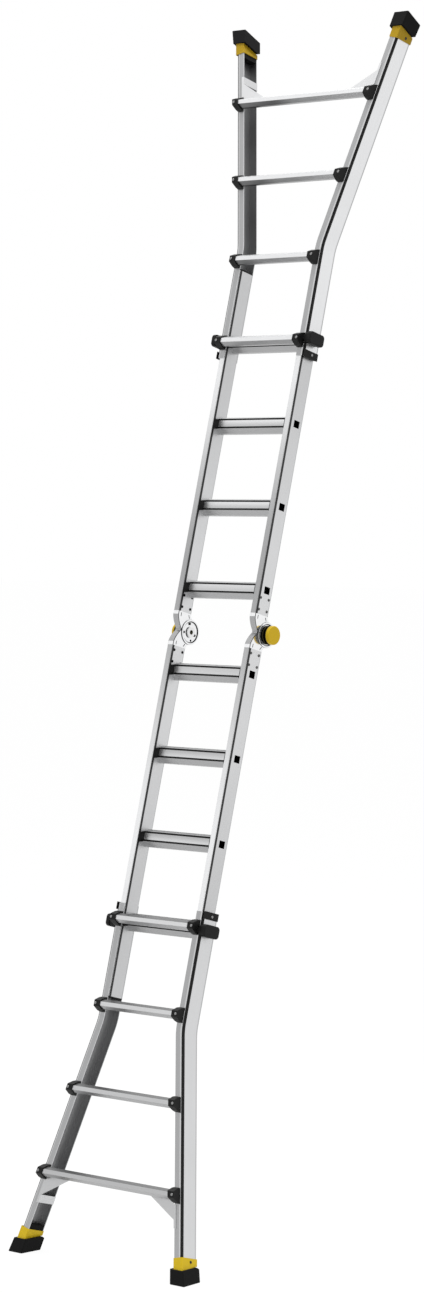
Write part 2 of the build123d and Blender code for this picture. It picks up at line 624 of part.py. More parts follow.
def end_guide():
    """Right end guide: strap on the outer face, lip over the stile's end and a glide pad inside."""
    glide_x = INNER_HALF_WIDTH + GLIDE_CLEARANCE
    glide_end_x = WEB_INSIDE_X - CHANNEL_RIB_HEIGHT
    strap_x = WEB_OUTSIDE_X + GUIDE_PLATE
    pad_front_y = HINGE_RIVET_FRONT_Y + RIVET_HEAD_RADIUS + GLIDE_PAD_MARGIN
    pad_rear_y = HINGE_RIVET_REAR_Y - RIVET_HEAD_RADIUS - GLIDE_PAD_MARGIN
    with BuildPart() as guide:
        with BuildSketch(Plane.YZ.offset(WEB_OUTSIDE_X)):
            with Locations(((CHANNEL_FRONT_Y + CHANNEL_REAR_Y) / 2, OUTER_START + GUIDE_HEIGHT / 2)):
                Rectangle(CHANNEL_REAR_Y - CHANNEL_FRONT_Y, GUIDE_HEIGHT)
        extrude(amount=GUIDE_PLATE)
        with BuildSketch(Plane.XY.offset(OUTER_START - GUIDE_PLATE)):
            outline([
                (glide_x, pad_front_y),
                (strap_x, CHANNEL_FRONT_Y),
                (strap_x, CHANNEL_REAR_Y),
                (glide_x, pad_rear_y),
            ])
        extrude(amount=GUIDE_PLATE)
        with BuildSketch(Plane.XY.offset(OUTER_START)):
            with Locations(((glide_x + glide_end_x) / 2, (pad_front_y + pad_rear_y) / 2)):
                Rectangle(glide_end_x - glide_x, pad_rear_y - pad_front_y)
        extrude(amount=GLIDE_PAD_HEIGHT)
        with BuildSketch(guide_rivet_plane()):
            Circle(RIVET_RADIUS)
        extrude(amount=-GUIDE_PLATE, mode=Mode.SUBTRACT)
    return guide.part


def foot_collar():
    """Right foot collar: a sleeve, square to the stile at its top and level at its bottom."""
    rail = rail_plane(COLLAR_TOP)
    width = WEB_OUTSIDE_X - LIP_X + 2 * FIT
    depth = CHANNEL_REAR_Y - CHANNEL_FRONT_Y + 2 * FIT
    middle = (0, (CHANNEL_REAR_Y + CHANNEL_FRONT_Y) / 2)
    with BuildPart() as collar:
        with BuildSketch(rail):
            with Locations(middle):
                RectangleRounded(width + 2 * COLLAR_WALL, depth + 2 * COLLAR_WALL, COLLAR_ROUND)
                Rectangle(width, depth, mode=Mode.SUBTRACT)
        extrude(amount=FOOT_LENGTH)
        split(bisect_by=level_plane(SOLE_HEIGHT - PAD_HEIGHT), keep=Keep.BOTTOM)
        with BuildSketch(collar_rivet_plane()):
            Circle(RIVET_RADIUS)
        extrude(amount=-COLLAR_WALL, mode=Mode.SUBTRACT)
    return collar.part


def pad_body():
    """Right foot pad with a plain sole: a rubber shoe that spreads downwards, with a plug up the stile."""
    rail = rail_plane(COLLAR_TOP)
    half_width = (WEB_OUTSIDE_X - LIP_X) / 2
    inner_side = -half_width - PAD_INNER_SIDE
    outer_side = half_width + PAD_OUTER_SIDE
    length = FOOT_LENGTH + PAD_HEIGHT
    top = FOOT_LENGTH - PAD_HEIGHT
    spread = tan(radians(PAD_SPREAD_ANGLE))
    heel_y = PAD_REAR_Y - PAD_HEEL_DEPTH
    heel_top = SOLE_HEIGHT - PAD_HEIGHT - rise(heel_y)
    rear_top = SOLE_HEIGHT - PAD_HEIGHT - rise(PAD_REAR_Y)
    plug_low_x = LIP_X + PAD_PLUG_CLEARANCE
    plug_high_x = FLANGE_X - CHANNEL_WALL - PAD_PLUG_CLEARANCE
    plug_x = (plug_low_x + plug_high_x) / 2 - CHANNEL_MID_X
    plug_depth = CHANNEL_REAR_Y - CHANNEL_FRONT_Y - 2 * CHANNEL_WALL - 2 * PAD_PLUG_CLEARANCE
    sole = level_plane(SOLE_HEIGHT)
    with BuildPart() as pad:
        with BuildSketch(Plane(origin=rail.origin, x_dir=rail.x_dir, z_dir=(0, -1, 0)).offset(-PAD_FRONT_Y)):
            outline([
                (inner_side, 0),
                (outer_side - top * spread, 0),
                (outer_side + (length - top) * spread, length),
                (inner_side, length),
            ])
        extrude(amount=PAD_FRONT_Y - PAD_REAR_Y)
        fillet(pad.edges().sort_by(SortBy.LENGTH)[-4:], PAD_ROUND)
        split(bisect_by=level_plane(SOLE_HEIGHT - PAD_HEIGHT), keep=Keep.TOP)
        with BuildSketch(Plane.YZ):
            outline([
                (heel_y, heel_top),
                (PAD_REAR_Y, rear_top),
                (PAD_REAR_Y, rear_top + PAD_HEEL_HEIGHT),
            ])
        extrude(amount=2 * along_stile(WEB_OUTSIDE_X, SOLE_HEIGHT), mode=Mode.SUBTRACT)
        split(bisect_by=sole, keep=Keep.BOTTOM)
        fillet(pad.faces().sort_by(Axis(sole.origin, sole.z_dir))[-1].edges(), PAD_SOLE_ROUND)
        with BuildSketch(rail_plane(COLLAR_TOP - PAD_PLUG_RISE)):
            with Locations((plug_x, (CHANNEL_FRONT_Y + CHANNEL_REAR_Y) / 2)):
                Rectangle(plug_high_x - plug_low_x, plug_depth)
        extrude(amount=FOOT_LENGTH - PAD_HEIGHT + PAD_PLUG_RISE)
    return pad.part


def foot_pad():
    """Right foot pad for the floor, with tread grooves across its sole."""
    step = SOLE_LENGTH / (TREAD_GROOVES + 1)
    with BuildPart() as pad:
        add(pad_body())
        with BuildSketch(level_plane(SOLE_HEIGHT - rise(PAD_MID_Y), PAD_MID_Y)):
            with Locations(*[(SOLE_MID_X, step * (k + 1) - SOLE_LENGTH / 2) for k in range(TREAD_GROOVES)]):
                Rectangle(SOLE_WIDTH - 2 * PAD_SOLE_MARGIN, TREAD_GROOVE_WIDTH)
        extrude(amount=-TREAD_GROOVE_DEPTH, mode=Mode.SUBTRACT)
    return pad.part


def wall_pad():
    """Right pad of the upper end, hollow from its sole so that it lies softly against a wall."""
    with BuildPart() as pad:
        add(pad_body())
        with BuildSketch(level_plane(SOLE_HEIGHT - rise(PAD_MID_Y), PAD_MID_Y)):
            with Locations((SOLE_MID_X, 0)):
                Rectangle(SOLE_WIDTH - 2 * WALL_PAD_MARGIN, SOLE_LENGTH - 2 * WALL_PAD_MARGIN)
        extrude(amount=-WALL_PAD_HOLLOW, mode=Mode.SUBTRACT)
    return pad.part


def corner_brace():
    """Right corner brace: gusset behind the end rung, tab on the stile and a strap across it."""
    gusset_top = END_RUNG_HEIGHT - BRACE_RUNG_OVERLAP
    rung_edge = END_RUNG_HEIGHT + OUTER_RUNG_HEIGHT / 2
    tab_top = END_RUNG_HEIGHT + OUTER_RUNG_HEIGHT / 2 + BRACKET_ROOT_WALL + BRACE_BRACKET_GAP
    bottom = END_RUNG_HEIGHT + BRACE_DROP
    strap_top = bottom - BRACE_STRAP_HEIGHT
    bracket_gap = BRACKET_OVERHANG + BRACE_BRACKET_GAP
    strap = [
        (along_stile(LIP_X, strap_top) - BRACE_THICKNESS, strap_top),
        (along_stile(LIP_X, strap_top), strap_top),
        (along_stile(LIP_X, bottom), bottom),
        (along_stile(LIP_X, bottom) - BRACE_THICKNESS, bottom),
    ]
    with BuildPart() as brace:
        with BuildSketch(Plane.XZ.offset(-CHANNEL_FRONT_Y)):
            outline([
                (along_stile(LIP_X, gusset_top) - BRACE_REACH, gusset_top),
                (along_stile(LIP_X, gusset_top) - bracket_gap, gusset_top),
                (along_stile(LIP_X, tab_top) - bracket_gap, tab_top),
                (along_stile(LIP_X, tab_top) + BRACE_TAB, tab_top),
                (along_stile(LIP_X, bottom) + BRACE_TAB, bottom),
                strap[3],
                strap[0],
                (along_stile(LIP_X, rung_edge) - BRACE_REACH, rung_edge),
            ])
        extrude(amount=BRACE_THICKNESS)
        with BuildSketch(Plane.XZ.offset(-CHANNEL_FRONT_Y)):
            outline(strap)
        extrude(amount=CHANNEL_FRONT_Y - CHANNEL_REAR_Y)
    return brace.part


def rivet(plane, shank):
    """Rivet with its rounded head on a plane and its shank behind it."""
    with BuildPart() as fastener:
        with BuildSketch(plane):
            Circle(RIVET_HEAD_RADIUS)
        extrude(amount=RIVET_HEAD)
        crown = fastener.faces().sort_by(Axis(plane.origin, plane.z_dir))[-1]
        fillet(crown.edges(), RIVET_HEAD_ROUND)
        with BuildSketch(plane):
            Circle(RIVET_RADIUS - RIVET_PLAY)
        extrude(amount=-shank)
    return fastener.part


def outer_rivets():
    """Rivets of the brackets, end guides and foot collars of an outer section."""
    rivets = []
    for height in OUTER_RUNG_HEIGHTS + [LOCK_RUNG_HEIGHT]:
        rivets += both_sides(rivet(bracket_rivet_plane(height), RIVET_BLIND_DEPTH - FIT))
    rivets += both_sides(rivet(guide_rivet_plane(), GUIDE_RIVET_SHANK))
    rivets += both_sides(rivet(collar_rivet_plane(), COLLAR_RIVET_SHANK))
    return rivets


def hinge_arm(has_inner_disc):
    """Right hinge arm of the upper half, with its disc on the inner or the outer side of the joint."""
    inner_range = (DISC_INSIDE_X, DISC_SPLIT_X)
    outer_range = (DISC_SPLIT_X + DISC_CLEARANCE, DISC_OUTSIDE_X)
    own_range = inner_range if has_inner_disc else outer_range
    other_range = (DISC_SPLIT_X, DISC_OUTSIDE_X) if has_inner_disc else (DISC_INSIDE_X, outer_range[0])
    face_x = DISC_INSIDE_X if has_inner_disc else DISC_OUTSIDE_X
    into_disc = 1 if has_inner_disc else -1
    boss_radius = DISC_BOSS_RADIUS if has_inner_disc else PIVOT_HEAD_RADIUS
    with BuildPart() as disc:
        with BuildSketch(Plane.YZ.offset(own_range[0])):
            with Locations((PIVOT_Y, 0)):
                Circle(DISC_RADIUS)
        extrude(amount=own_range[1] - own_range[0])
        fillet(disc.edges().group_by(Axis.X)[0 if has_inner_disc else -1], DISC_ROUND)
        with BuildSketch(Plane.YZ.offset(face_x)):
            with Locations((PIVOT_Y, 0)):
                Circle(DISC_RADIUS - DISC_RIM)
                Circle(boss_radius, mode=Mode.SUBTRACT)
        extrude(amount=into_disc * DISC_RECESS, mode=Mode.SUBTRACT)
        if has_inner_disc:
            with BuildSketch(Plane.YZ.offset(DISC_INSIDE_X)):
                with Locations((PIVOT_Y, 0)):
                    with PolarLocations(DISC_HOLE_CIRCLE, DISC_HOLES, start_angle=DISC_HOLE_START):
                        Circle(DISC_HOLE_RADIUS)
                start = KIDNEY_CENTRE - KIDNEY_SWEEP / 2
                middle = CenterArc((PIVOT_Y, 0), KIDNEY_RADIUS, start, KIDNEY_SWEEP, mode=Mode.PRIVATE)
                SlotArc(middle, KIDNEY_WIDTH)
            extrude(amount=DISC_RECESS + DISC_HOLE_DEPTH, mode=Mode.SUBTRACT)
    with BuildPart() as arm:
        with BuildSketch(Plane.YZ.offset(INNER_FACE_X)):
            with BuildLine():
                shoulder = Line((0, INNER_START), (0, INNER_START - ARM_SHOULDER))
                notch = Line((ARM_NOTCH_Y, ARM_NOTCH_HEIGHT), (ARM_NOTCH_Y, ARM_STOP_GAP))
                Bezier(shoulder @ 1, (ARM_BEND_Y, ARM_BEND_HEIGHT), notch @ 0)
                Polyline(
                    notch @ 1,
                    (ARM_NOTCH_Y + ARM_NOTCH_WIDTH, ARM_STOP_GAP),
                    (PIVOT_Y, DISC_RADIUS),
                    (STILE_DEPTH, INNER_START - ARM_HEEL),
                    (STILE_DEPTH, INNER_START),
                    shoulder @ 0,
                )
            make_face()
        extrude(amount=STILE_WIDTH)
        with BuildSketch(Plane.YZ.offset(DISC_INSIDE_X)):
            with Locations((PIVOT_Y, 0)):
                Circle(DISC_RADIUS - DISC_RIM)
        extrude(amount=DISC_OUTSIDE_X - DISC_INSIDE_X, mode=Mode.SUBTRACT)
        with BuildSketch(Plane.YZ.offset(other_range[0])):
            with Locations((PIVOT_Y, 0)):
                Circle(DISC_RADIUS + DISC_CLEARANCE)
        extrude(amount=other_range[1] - other_range[0], mode=Mode.SUBTRACT)
        for face in (INNER_FACE_X, INNER_HALF_WIDTH - ARM_SLOT_DEPTH):
            with BuildSketch(Plane.YZ.offset(face)):
                with Locations((FRONT_SLOT_Y, INNER_START - ARM_SLOT_DROP)):
                    SlotOverall(ARM_SLOT_LENGTH, ARM_SLOT_WIDTH, rotation=90)
                with Locations((STILE_DEPTH - REAR_SLOT_EDGE, INNER_START - ARM_SLOT_DROP)):
                    SlotOverall(ARM_SLOT_LENGTH, ARM_SLOT_WIDTH, rotation=90 + REAR_SLOT_TILT)
            extrude(amount=ARM_SLOT_DEPTH, mode=Mode.SUBTRACT)
        with BuildSketch(Plane.XY.offset(INNER_START)):
            with Locations((STILE_MID_X, (TONGUE_FRONT_Y + TONGUE_REAR_Y) / 2)):
                Rectangle(TONGUE_WIDTH, TONGUE_REAR_Y - TONGUE_FRONT_Y)
        extrude(amount=TONGUE_LENGTH)
        with BuildSketch(Plane.YZ.offset(INNER_FACE_X)):
            with Locations(*HINGE_RIVET_SPOTS):
                Circle(RIVET_RADIUS)
        extrude(amount=STILE_WIDTH, mode=Mode.SUBTRACT)
        add(disc.part)
        with BuildSketch(Plane.YZ.offset(DISC_INSIDE_X)):
            with Locations((PIVOT_Y, 0)):
                Circle(PIVOT_RADIUS)
        extrude(amount=DISC_OUTSIDE_X - DISC_INSIDE_X, mode=Mode.SUBTRACT)
    return arm.part


def hinge_pivot():
    """Right hinge pivot: a hollow pin with a polished head outside and a swaged ring inside."""
    ring_x = DISC_INSIDE_X - FIT - PIVOT_RING
    with BuildPart() as pivot:
        with BuildSketch(Plane.YZ.offset(DISC_OUTSIDE_X)):
            with Locations((PIVOT_Y, 0)):
                Circle(PIVOT_HEAD_RADIUS)
        extrude(amount=PIVOT_HEAD)
        fillet(pivot.edges().group_by(Axis.X)[-1], PIVOT_HEAD_ROUND)
        with BuildSketch(Plane.YZ.offset(ring_x)):
            with Locations((PIVOT_Y, 0)):
                Circle(PIVOT_RING_RADIUS)
        extrude(amount=PIVOT_RING)
        with BuildSketch(Plane.YZ.offset(ring_x)):
            with Locations((PIVOT_Y, 0)):
                Circle(PIVOT_RADIUS - PIVOT_PLAY)
        extrude(amount=DISC_OUTSIDE_X - ring_x)
        with BuildSketch(Plane.YZ.offset(ring_x)):
            with Locations((PIVOT_Y, 0)):
                Circle(KNOB_STEM_RADIUS)
        extrude(amount=DISC_OUTSIDE_X + PIVOT_HEAD - ring_x, mode=Mode.SUBTRACT)
    return pivot.part


def hinge_knob():
    """Right release knob, with its stem in the bore of the pivot."""
    with BuildPart() as knob:
        with BuildSketch(Plane.YZ.offset(KNOB_BACK_X)):
            with Locations((PIVOT_Y, 0)):
                Circle(KNOB_RADIUS)
        extrude(amount=KNOB_THICKNESS)
        fillet(knob.edges().group_by(Axis.X)[-1], KNOB_ROUND)
        with BuildSketch(Plane.YZ.offset(KNOB_BACK_X)):
            with Locations((PIVOT_Y, 0)):
                Circle(KNOB_STEM_RADIUS - PIVOT_PLAY)
        extrude(amount=DISC_INSIDE_X + KNOB_TRAVEL - KNOB_BACK_X)
    return knob.part


def hinge_rivets():
    """Rivets through the stile ends and the tongues of the upper hinge arms, flush on the inside."""
    rivets = []
    for y, height in HINGE_RIVET_SPOTS:
        place = Plane(origin=(INNER_HALF_WIDTH, y, height), x_dir=(0, 1, 0), z_dir=(1, 0, 0))
        rivets += both_sides(rivet(place, STILE_WIDTH))
    return rivets


def outer_section():
    """Pieces of the upper outer section, by name."""
    stile = outer_stile()
    handle = lock_handle()
    pin = lock_pin()
    pieces = {
        "left_stile": [left(stile)],
        "right_stile": [stile],
        "lock_rung": [outer_rung(LOCK_RUNG_HEIGHT)],
        "rung_brackets": [],
        "lock_brackets": both_sides(lock_bracket()),
        "foot_collars": both_sides(foot_collar()),
        "foot_pads": both_sides(foot_pad()),
        "corner_braces": both_sides(corner_brace()),
        "end_guides": both_sides(end_guide()),
        "rivets": outer_rivets(),
        "left_lock_handle": [left(handle)],
        "right_lock_handle": [handle],
        "left_lock_pin": [left(pin)],
        "right_lock_pin": [pin],
    }
    for number, height in enumerate(OUTER_RUNG_HEIGHTS, start=1):
        pieces[f"rung_{number}"] = [outer_rung(height)]
        pieces["rung_brackets"] += both_sides(rung_bracket(height))
    return {f"outer_{name}": group for name, group in pieces.items()}


def inner_section():
    """Pieces of the upper inner section that the lower one mirrors, by name."""
    stile = inner_stile()
    return {
        "inner_left_stile": [left(stile)],
        "inner_right_stile": [stile],
        "inner_end_plugs": both_sides(end_plug()),
        "hinge_rivets": hinge_rivets(),
    }


def inner_rungs(side):
    """Rungs and end blocks above (side 1) or below (side -1) the hinge: their treads face up in both."""
    pieces = {"inner_rung_end_blocks": []}
    for number, height in enumerate(INNER_RUNG_HEIGHTS, start=1):
        pieces[f"inner_rung_{number}"] = [inner_rung(side * height)]
        pieces["inner_rung_end_blocks"] += both_sides(rung_end_block(side * height))
    return pieces


def upright_ladder():
    """Every named group of pieces, before the ladder leans."""
    upper_arm = hinge_arm(has_inner_disc=True)
    lower_arm = mirror(hinge_arm(has_inner_disc=False), about=Plane.XY)
    knob = hinge_knob()
    ladder = {
        "upper_left_hinge_arm": [left(upper_arm)],
        "upper_right_hinge_arm": [upper_arm],
        "lower_left_hinge_arm": [left(lower_arm)],
        "lower_right_hinge_arm": [lower_arm],
        "hinge_pivots": both_sides(hinge_pivot()),
        "left_hinge_knob": [left(knob)],
        "right_hinge_knob": [knob],
    }
    for name, group in (outer_section() | inner_section()).items():
        ladder[f"upper_{name}"] = group
        ladder[f"lower_{name}"] = [mirror(piece, about=Plane.XY) for piece in group]
    for half, side in (("upper", 1), ("lower", -1)):
        for name, group in inner_rungs(side).items():
            ladder[f"{half}_{name}"] = group
    ladder["upper_outer_foot_pads"] = both_sides(wall_pad())
    return ladder


def main():
    """Lean the ladder, stand it on the origin and write one file for each named piece."""
    os.makedirs("parts", exist_ok=True)
    lean = Location((0, 0, 0), (-LEAN_ANGLE, 0, 0))
    ladder = {}
    for name, group in upright_ladder().items():
        solids = [solid for piece in group for solid in piece.solids()]
        ladder[name] = Compound(solids).moved(lean)
    boxes = [node.bounding_box() for node in ladder.values()]
    middle_y = (min(box.min.Y for box in boxes) + max(box.max.Y for box in boxes)) / 2
    stand = Location((0, -middle_y, -min(box.min.Z for box in boxes)))
    for name, node in ladder.items():
        placed = node.moved(stand)
        placed.label = name
        export_step(placed, f"parts/{name}.step")
    pivot = (stand * lean * Location((0, PIVOT_Y, 0))).position
    print(f"hinge pivot at Y {pivot.Y:.4f} and Z {pivot.Z:.4f}")


if __name__ == "__main__":
    main()
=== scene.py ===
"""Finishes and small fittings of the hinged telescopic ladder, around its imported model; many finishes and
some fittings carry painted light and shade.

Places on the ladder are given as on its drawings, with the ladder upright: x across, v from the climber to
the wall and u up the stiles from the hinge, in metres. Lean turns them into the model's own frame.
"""

import json
import logging
import math
from dataclasses import dataclass
from enum import Enum
from typing import Callable, Mapping, Sequence, Union

import bpy
from mathutils import Matrix, Vector


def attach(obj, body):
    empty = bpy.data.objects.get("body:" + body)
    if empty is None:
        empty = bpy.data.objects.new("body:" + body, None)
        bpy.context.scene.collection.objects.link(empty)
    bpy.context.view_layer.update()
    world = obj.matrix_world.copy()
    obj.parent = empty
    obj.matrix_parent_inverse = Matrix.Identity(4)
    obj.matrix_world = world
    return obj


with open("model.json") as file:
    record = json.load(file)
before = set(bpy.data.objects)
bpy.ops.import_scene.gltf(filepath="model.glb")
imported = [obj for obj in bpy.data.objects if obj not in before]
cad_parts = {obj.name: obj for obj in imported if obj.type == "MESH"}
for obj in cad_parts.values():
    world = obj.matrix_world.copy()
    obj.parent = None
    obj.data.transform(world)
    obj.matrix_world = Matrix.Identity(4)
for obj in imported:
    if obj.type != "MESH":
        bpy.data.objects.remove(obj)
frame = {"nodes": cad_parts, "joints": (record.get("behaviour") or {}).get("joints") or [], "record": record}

logging.basicConfig(level=logging.INFO, format="%(message)s")
LOG = logging.getLogger("ladder")

Colour = tuple[float, float, float, float]
Place = tuple[float, float, float]
Pair = tuple[float, float]


class Signed(Enum):
    """A choice of two whose value is a sign."""

    @property
    def label(self) -> str:
        """Word for it in the names of pieces."""
        return self.name.lower()


class Half(Signed):
    """The two halves that the hinge joins; the value is the sign of u."""

    UPPER = 1
    LOWER = -1


class Side(Signed):
    """The two sides of the ladder; the value is the sign of x."""

    RIGHT = 1
    LEFT = -1


class Grain(Enum):
    """Way in which the fine lines of a metal piece run."""

    STILE = "along the stile, round its bend"
    RUNG = "across the ladder"
    SHEET = "no one way"


@dataclass(frozen=True)
class Lean:
    """How the upright ladder stands in the model's frame."""

    angle: float = math.radians(15.0)
    pivot_v: float = 0.072

    @property
    def origin(self) -> Vector:
        """Point of the model's frame that is x = v = u = 0.

        Returns:
            The point.
        """
        fold = next(joint for joint in frame["joints"] if joint["name"] == "fold")
        across = Vector((0.0, math.cos(self.angle), -math.sin(self.angle)))
        return Vector(fold["pos_m"]) - self.pivot_v * across

    @property
    def matrix(self) -> Matrix:
        """Matrix from the upright ladder to the model's frame."""
        return Matrix.Translation(self.origin) @ Matrix.Rotation(-self.angle, 4, "X")


@dataclass(frozen=True)
class StilePath:
    """Line that the flared outer stiles follow, on the right of the upper half."""

    start_u: float = 0.924
    bend_u: float = 1.306
    collar_u: float = 2.008
    middle_x: float = 0.17515
    bend_radius: float = 0.200
    flare: float = math.radians(13.0)

    @property
    def tangent(self) -> float:
        """Length from the bend's corner to where its arc starts."""
        return self.bend_radius * math.tan(self.flare / 2)


LEAN = Lean()
PATH = StilePath()


class Wire:
    """A value in a finish, on which sums are written as plain expressions."""

    def __init__(self, graph: "Graph", socket: bpy.types.NodeSocket) -> None:
        """Keep the socket and the graph that it is in."""
        self.graph = graph
        self.socket = socket

    def sum(self, operation: str, *values: "Number") -> "Wire":
        """Add a Math node.

        Args:
            operation: name of the node's operation.
            values: its inputs, in order.

        Returns:
            The node's result.
        """
        node = self.graph.node("ShaderNodeMath", {"operation": operation}, dict(enumerate(values)))
        return Wire(self.graph, node.outputs[0])

    def __add__(self, other: "Number") -> "Wire":
        """Sum."""
        return self.sum("ADD", self, other)

    __radd__ = __add__

    def __sub__(self, other: "Number") -> "Wire":
        """Difference."""
        return self.sum("SUBTRACT", self, other)

    def __rsub__(self, other: "Number") -> "Wire":
        """Difference from a number."""
        return self.sum("SUBTRACT", other, self)

    def __mul__(self, other: "Number") -> "Wire":
        """Product."""
        return self.sum("MULTIPLY", self, other)

    __rmul__ = __mul__

    def __neg__(self) -> "Wire":
        """Value with the other sign."""
        return self * -1.0

    def __abs__(self) -> "Wire":
        """Size without its sign."""
        return self.sum("ABSOLUTE", self)

    def at_least(self, other: "Number") -> "Wire":
        """The larger of the two."""
        return self.sum("MAXIMUM", self, other)

    def ramp(self, low: float, high: float) -> "Wire":
        """Smooth step.

        Args:
            low: value where the step starts, at 0.
            high: value where the step ends, at 1.

        Returns:
            The step, from 0 to 1.
        """
        node = self.graph.node(
            "ShaderNodeMapRange",
            {"interpolation_type": "SMOOTHSTEP"},
            {"Value": self, "From Min": low, "From Max": high},
        )
        return Wire(self.graph, node.outputs["Result"])

    def between(self, rise: Pair, fall: Pair) -> "Wire":
        """Smooth band.

        Args:
            rise: values between which the band starts.
            fall: values between which the band ends.

        Returns:
            The band, 1 within it and 0 beyond.
        """
        return self.ramp(*rise) * (1.0 - self.ramp(*fall))


Number = Union[float, Wire]

# Sockets of the nodes that mix colours and shaders, by number because their names repeat.
MIX_SHARE, MIX_FIRST, MIX_SECOND, MIX_COLOUR = 0, 6, 7, 2
SHADER_SHARE, SHADER_FIRST, SHADER_SECOND = 0, 1, 2

# How rough the finer layers of a random pattern are, and the value that the pattern lies about.
NOISE_ROUGHNESS = 0.6
NOISE_MEAN = 0.5


class Graph:
    """Node tree of one finish, and the one way in which its nodes are made."""

    def __init__(self, tree: bpy.types.NodeTree) -> None:
        """Start from an empty tree."""
        self.tree = tree
        self.tree.nodes.clear()

    def node(
        self,
        kind: str,
        settings: Mapping[str, object] | None = None,
        sockets: Mapping[Union[str, int], object] | None = None,
    ) -> bpy.types.Node:
        """Add a node.

        Args:
            kind: its type.
            settings: its properties, which are set first.
            sockets: a value or a link for each input that is set.

        Returns:
            The node.
        """
        made = self.tree.nodes.new(kind)
        for name, value in (settings or {}).items():
            setattr(made, name, value)
        self.feed(made, sockets or {})
        return made

    def feed(self, node: bpy.types.Node, sockets: Mapping[Union[str, int], object]) -> None:
        """Set or link inputs of a node.

        Args:
            node: the node.
            sockets: a value or a link for each input that is set.
        """
        for name, value in sockets.items():
            if isinstance(value, Wire):
                self.tree.links.new(value.socket, node.inputs[name])
            elif isinstance(value, bpy.types.NodeSocket):
                self.tree.links.new(value, node.inputs[name])
            else:
                node.inputs[name].default_value = value

    def upright(self, output: str) -> tuple[Wire, Wire, Wire]:
        """A place or a normal on the upright ladder.

        Args:
            output: Object or Normal, of the texture coordinates.

        Returns:
            Its parts along x, v and u.
        """
        origin = Matrix.Rotation(LEAN.angle, 3, "X") @ LEAN.origin
        source = self.node("ShaderNodeTexCoord")
        turned = self.node(
            "ShaderNodeMapping",
            {"vector_type": "POINT" if output == "Object" else "VECTOR"},
            {"Vector": source.outputs[output], "Rotation": (LEAN.angle, 0.0, 0.0)},
        )
        if output == "Object":
            self.feed(turned, {"Location": -origin})
        parts = self.node("ShaderNodeSeparateXYZ", None, {"Vector": turned.outputs["Vector"]})
        return tuple(Wire(self, socket) for socket in parts.outputs)

    def vector(self, x: Number, y: Number, z: Number) -> bpy.types.NodeSocket:
        """Three values as one vector."""
        return self.node("ShaderNodeCombineXYZ", None, {"X": x, "Y": y, "Z": z}).outputs["Vector"]

    def noise(self, place: bpy.types.NodeSocket, scale: float, detail: float) -> Wire:
        """Soft random pattern.

        Args:
            place: where it is read.
            scale: how many lumps to the metre.
            detail: how many finer layers it has.

        Returns:
            The pattern, about NOISE_MEAN.
        """
        node = self.node(
            "ShaderNodeTexNoise",
            None,
            {"Vector": place, "Scale": scale, "Detail": detail, "Roughness": NOISE_ROUGHNESS},
        )
        return Wire(self, node.outputs["Fac"])

    def mix(self, share: Number, first: object, second: object) -> bpy.types.NodeSocket:
        """Colour between two others.

        Args:
            share: 0 for the first and 1 for the second.
            first: a colour or its socket.
            second: a colour or its socket.

        Returns:
            The mixed colour.
        """
        node = self.node(
            "ShaderNodeMix",
            {"data_type": "RGBA"},
            {MIX_SHARE: share, MIX_FIRST: first, MIX_SECOND: second},
        )
        return node.outputs[MIX_COLOUR]

    def choose(
        self, share: Wire, first: bpy.types.NodeSocket, second: bpy.types.NodeSocket
    ) -> bpy.types.NodeSocket:
        """Shader between two others.

        Args:
            share: 0 for the first and 1 for the second.
            first: a shader.
            second: another shader.

        Returns:
            The mixed shader.
        """
        sockets = {SHADER_SHARE: share, SHADER_FIRST: first, SHADER_SECOND: second}
        return self.node("ShaderNodeMixShader", None, sockets).outputs["Shader"]

    def bump(self, height: Wire, depth: float) -> bpy.types.NodeSocket:
        """Normal of a surface that is that rough, with a depth in metres."""
        node = self.node("ShaderNodeBump", None, {"Height": height, "Distance": depth, "Strength": 1.0})
        return node.outputs["Normal"]


def grey(level: float) -> Colour:
    """A plain grey."""
    return (level, level, level, 1.0)


@dataclass(frozen=True)
class Finish:
    """A surface finish; each kind paints its own shader."""

    name: str

    def material(self) -> bpy.types.Material:
        """Make the material.

        Returns:
            The material, with its shader painted.
        """
        made = bpy.data.materials.new(self.name)
        made.use_nodes = True
        graph = Graph(made.node_tree)
        shader = graph.node("ShaderNodeBsdfPrincipled")
        graph.node("ShaderNodeOutputMaterial", None, {"Surface": shader.outputs["BSDF"]})
        self.paint(graph, shader)
        return made

    def paint(self, graph: Graph, shader: bpy.types.Node) -> None:
        """Set the shader's sockets."""
        raise NotImplementedError


# Parts of a normal along an axis between which a face comes to look that way.
FACING_FRONT: Pair = (0.5, 0.9)
FACING_REAR: Pair = (0.25, 0.6)
FACING_MIDDLE: Pair = (0.3, 0.7)
FACING_UP: Pair = (0.2, 0.4)

# Heights between which a tone changes from low to high on the ladder.
ENDS_U: Pair = (-1.0, 1.0)


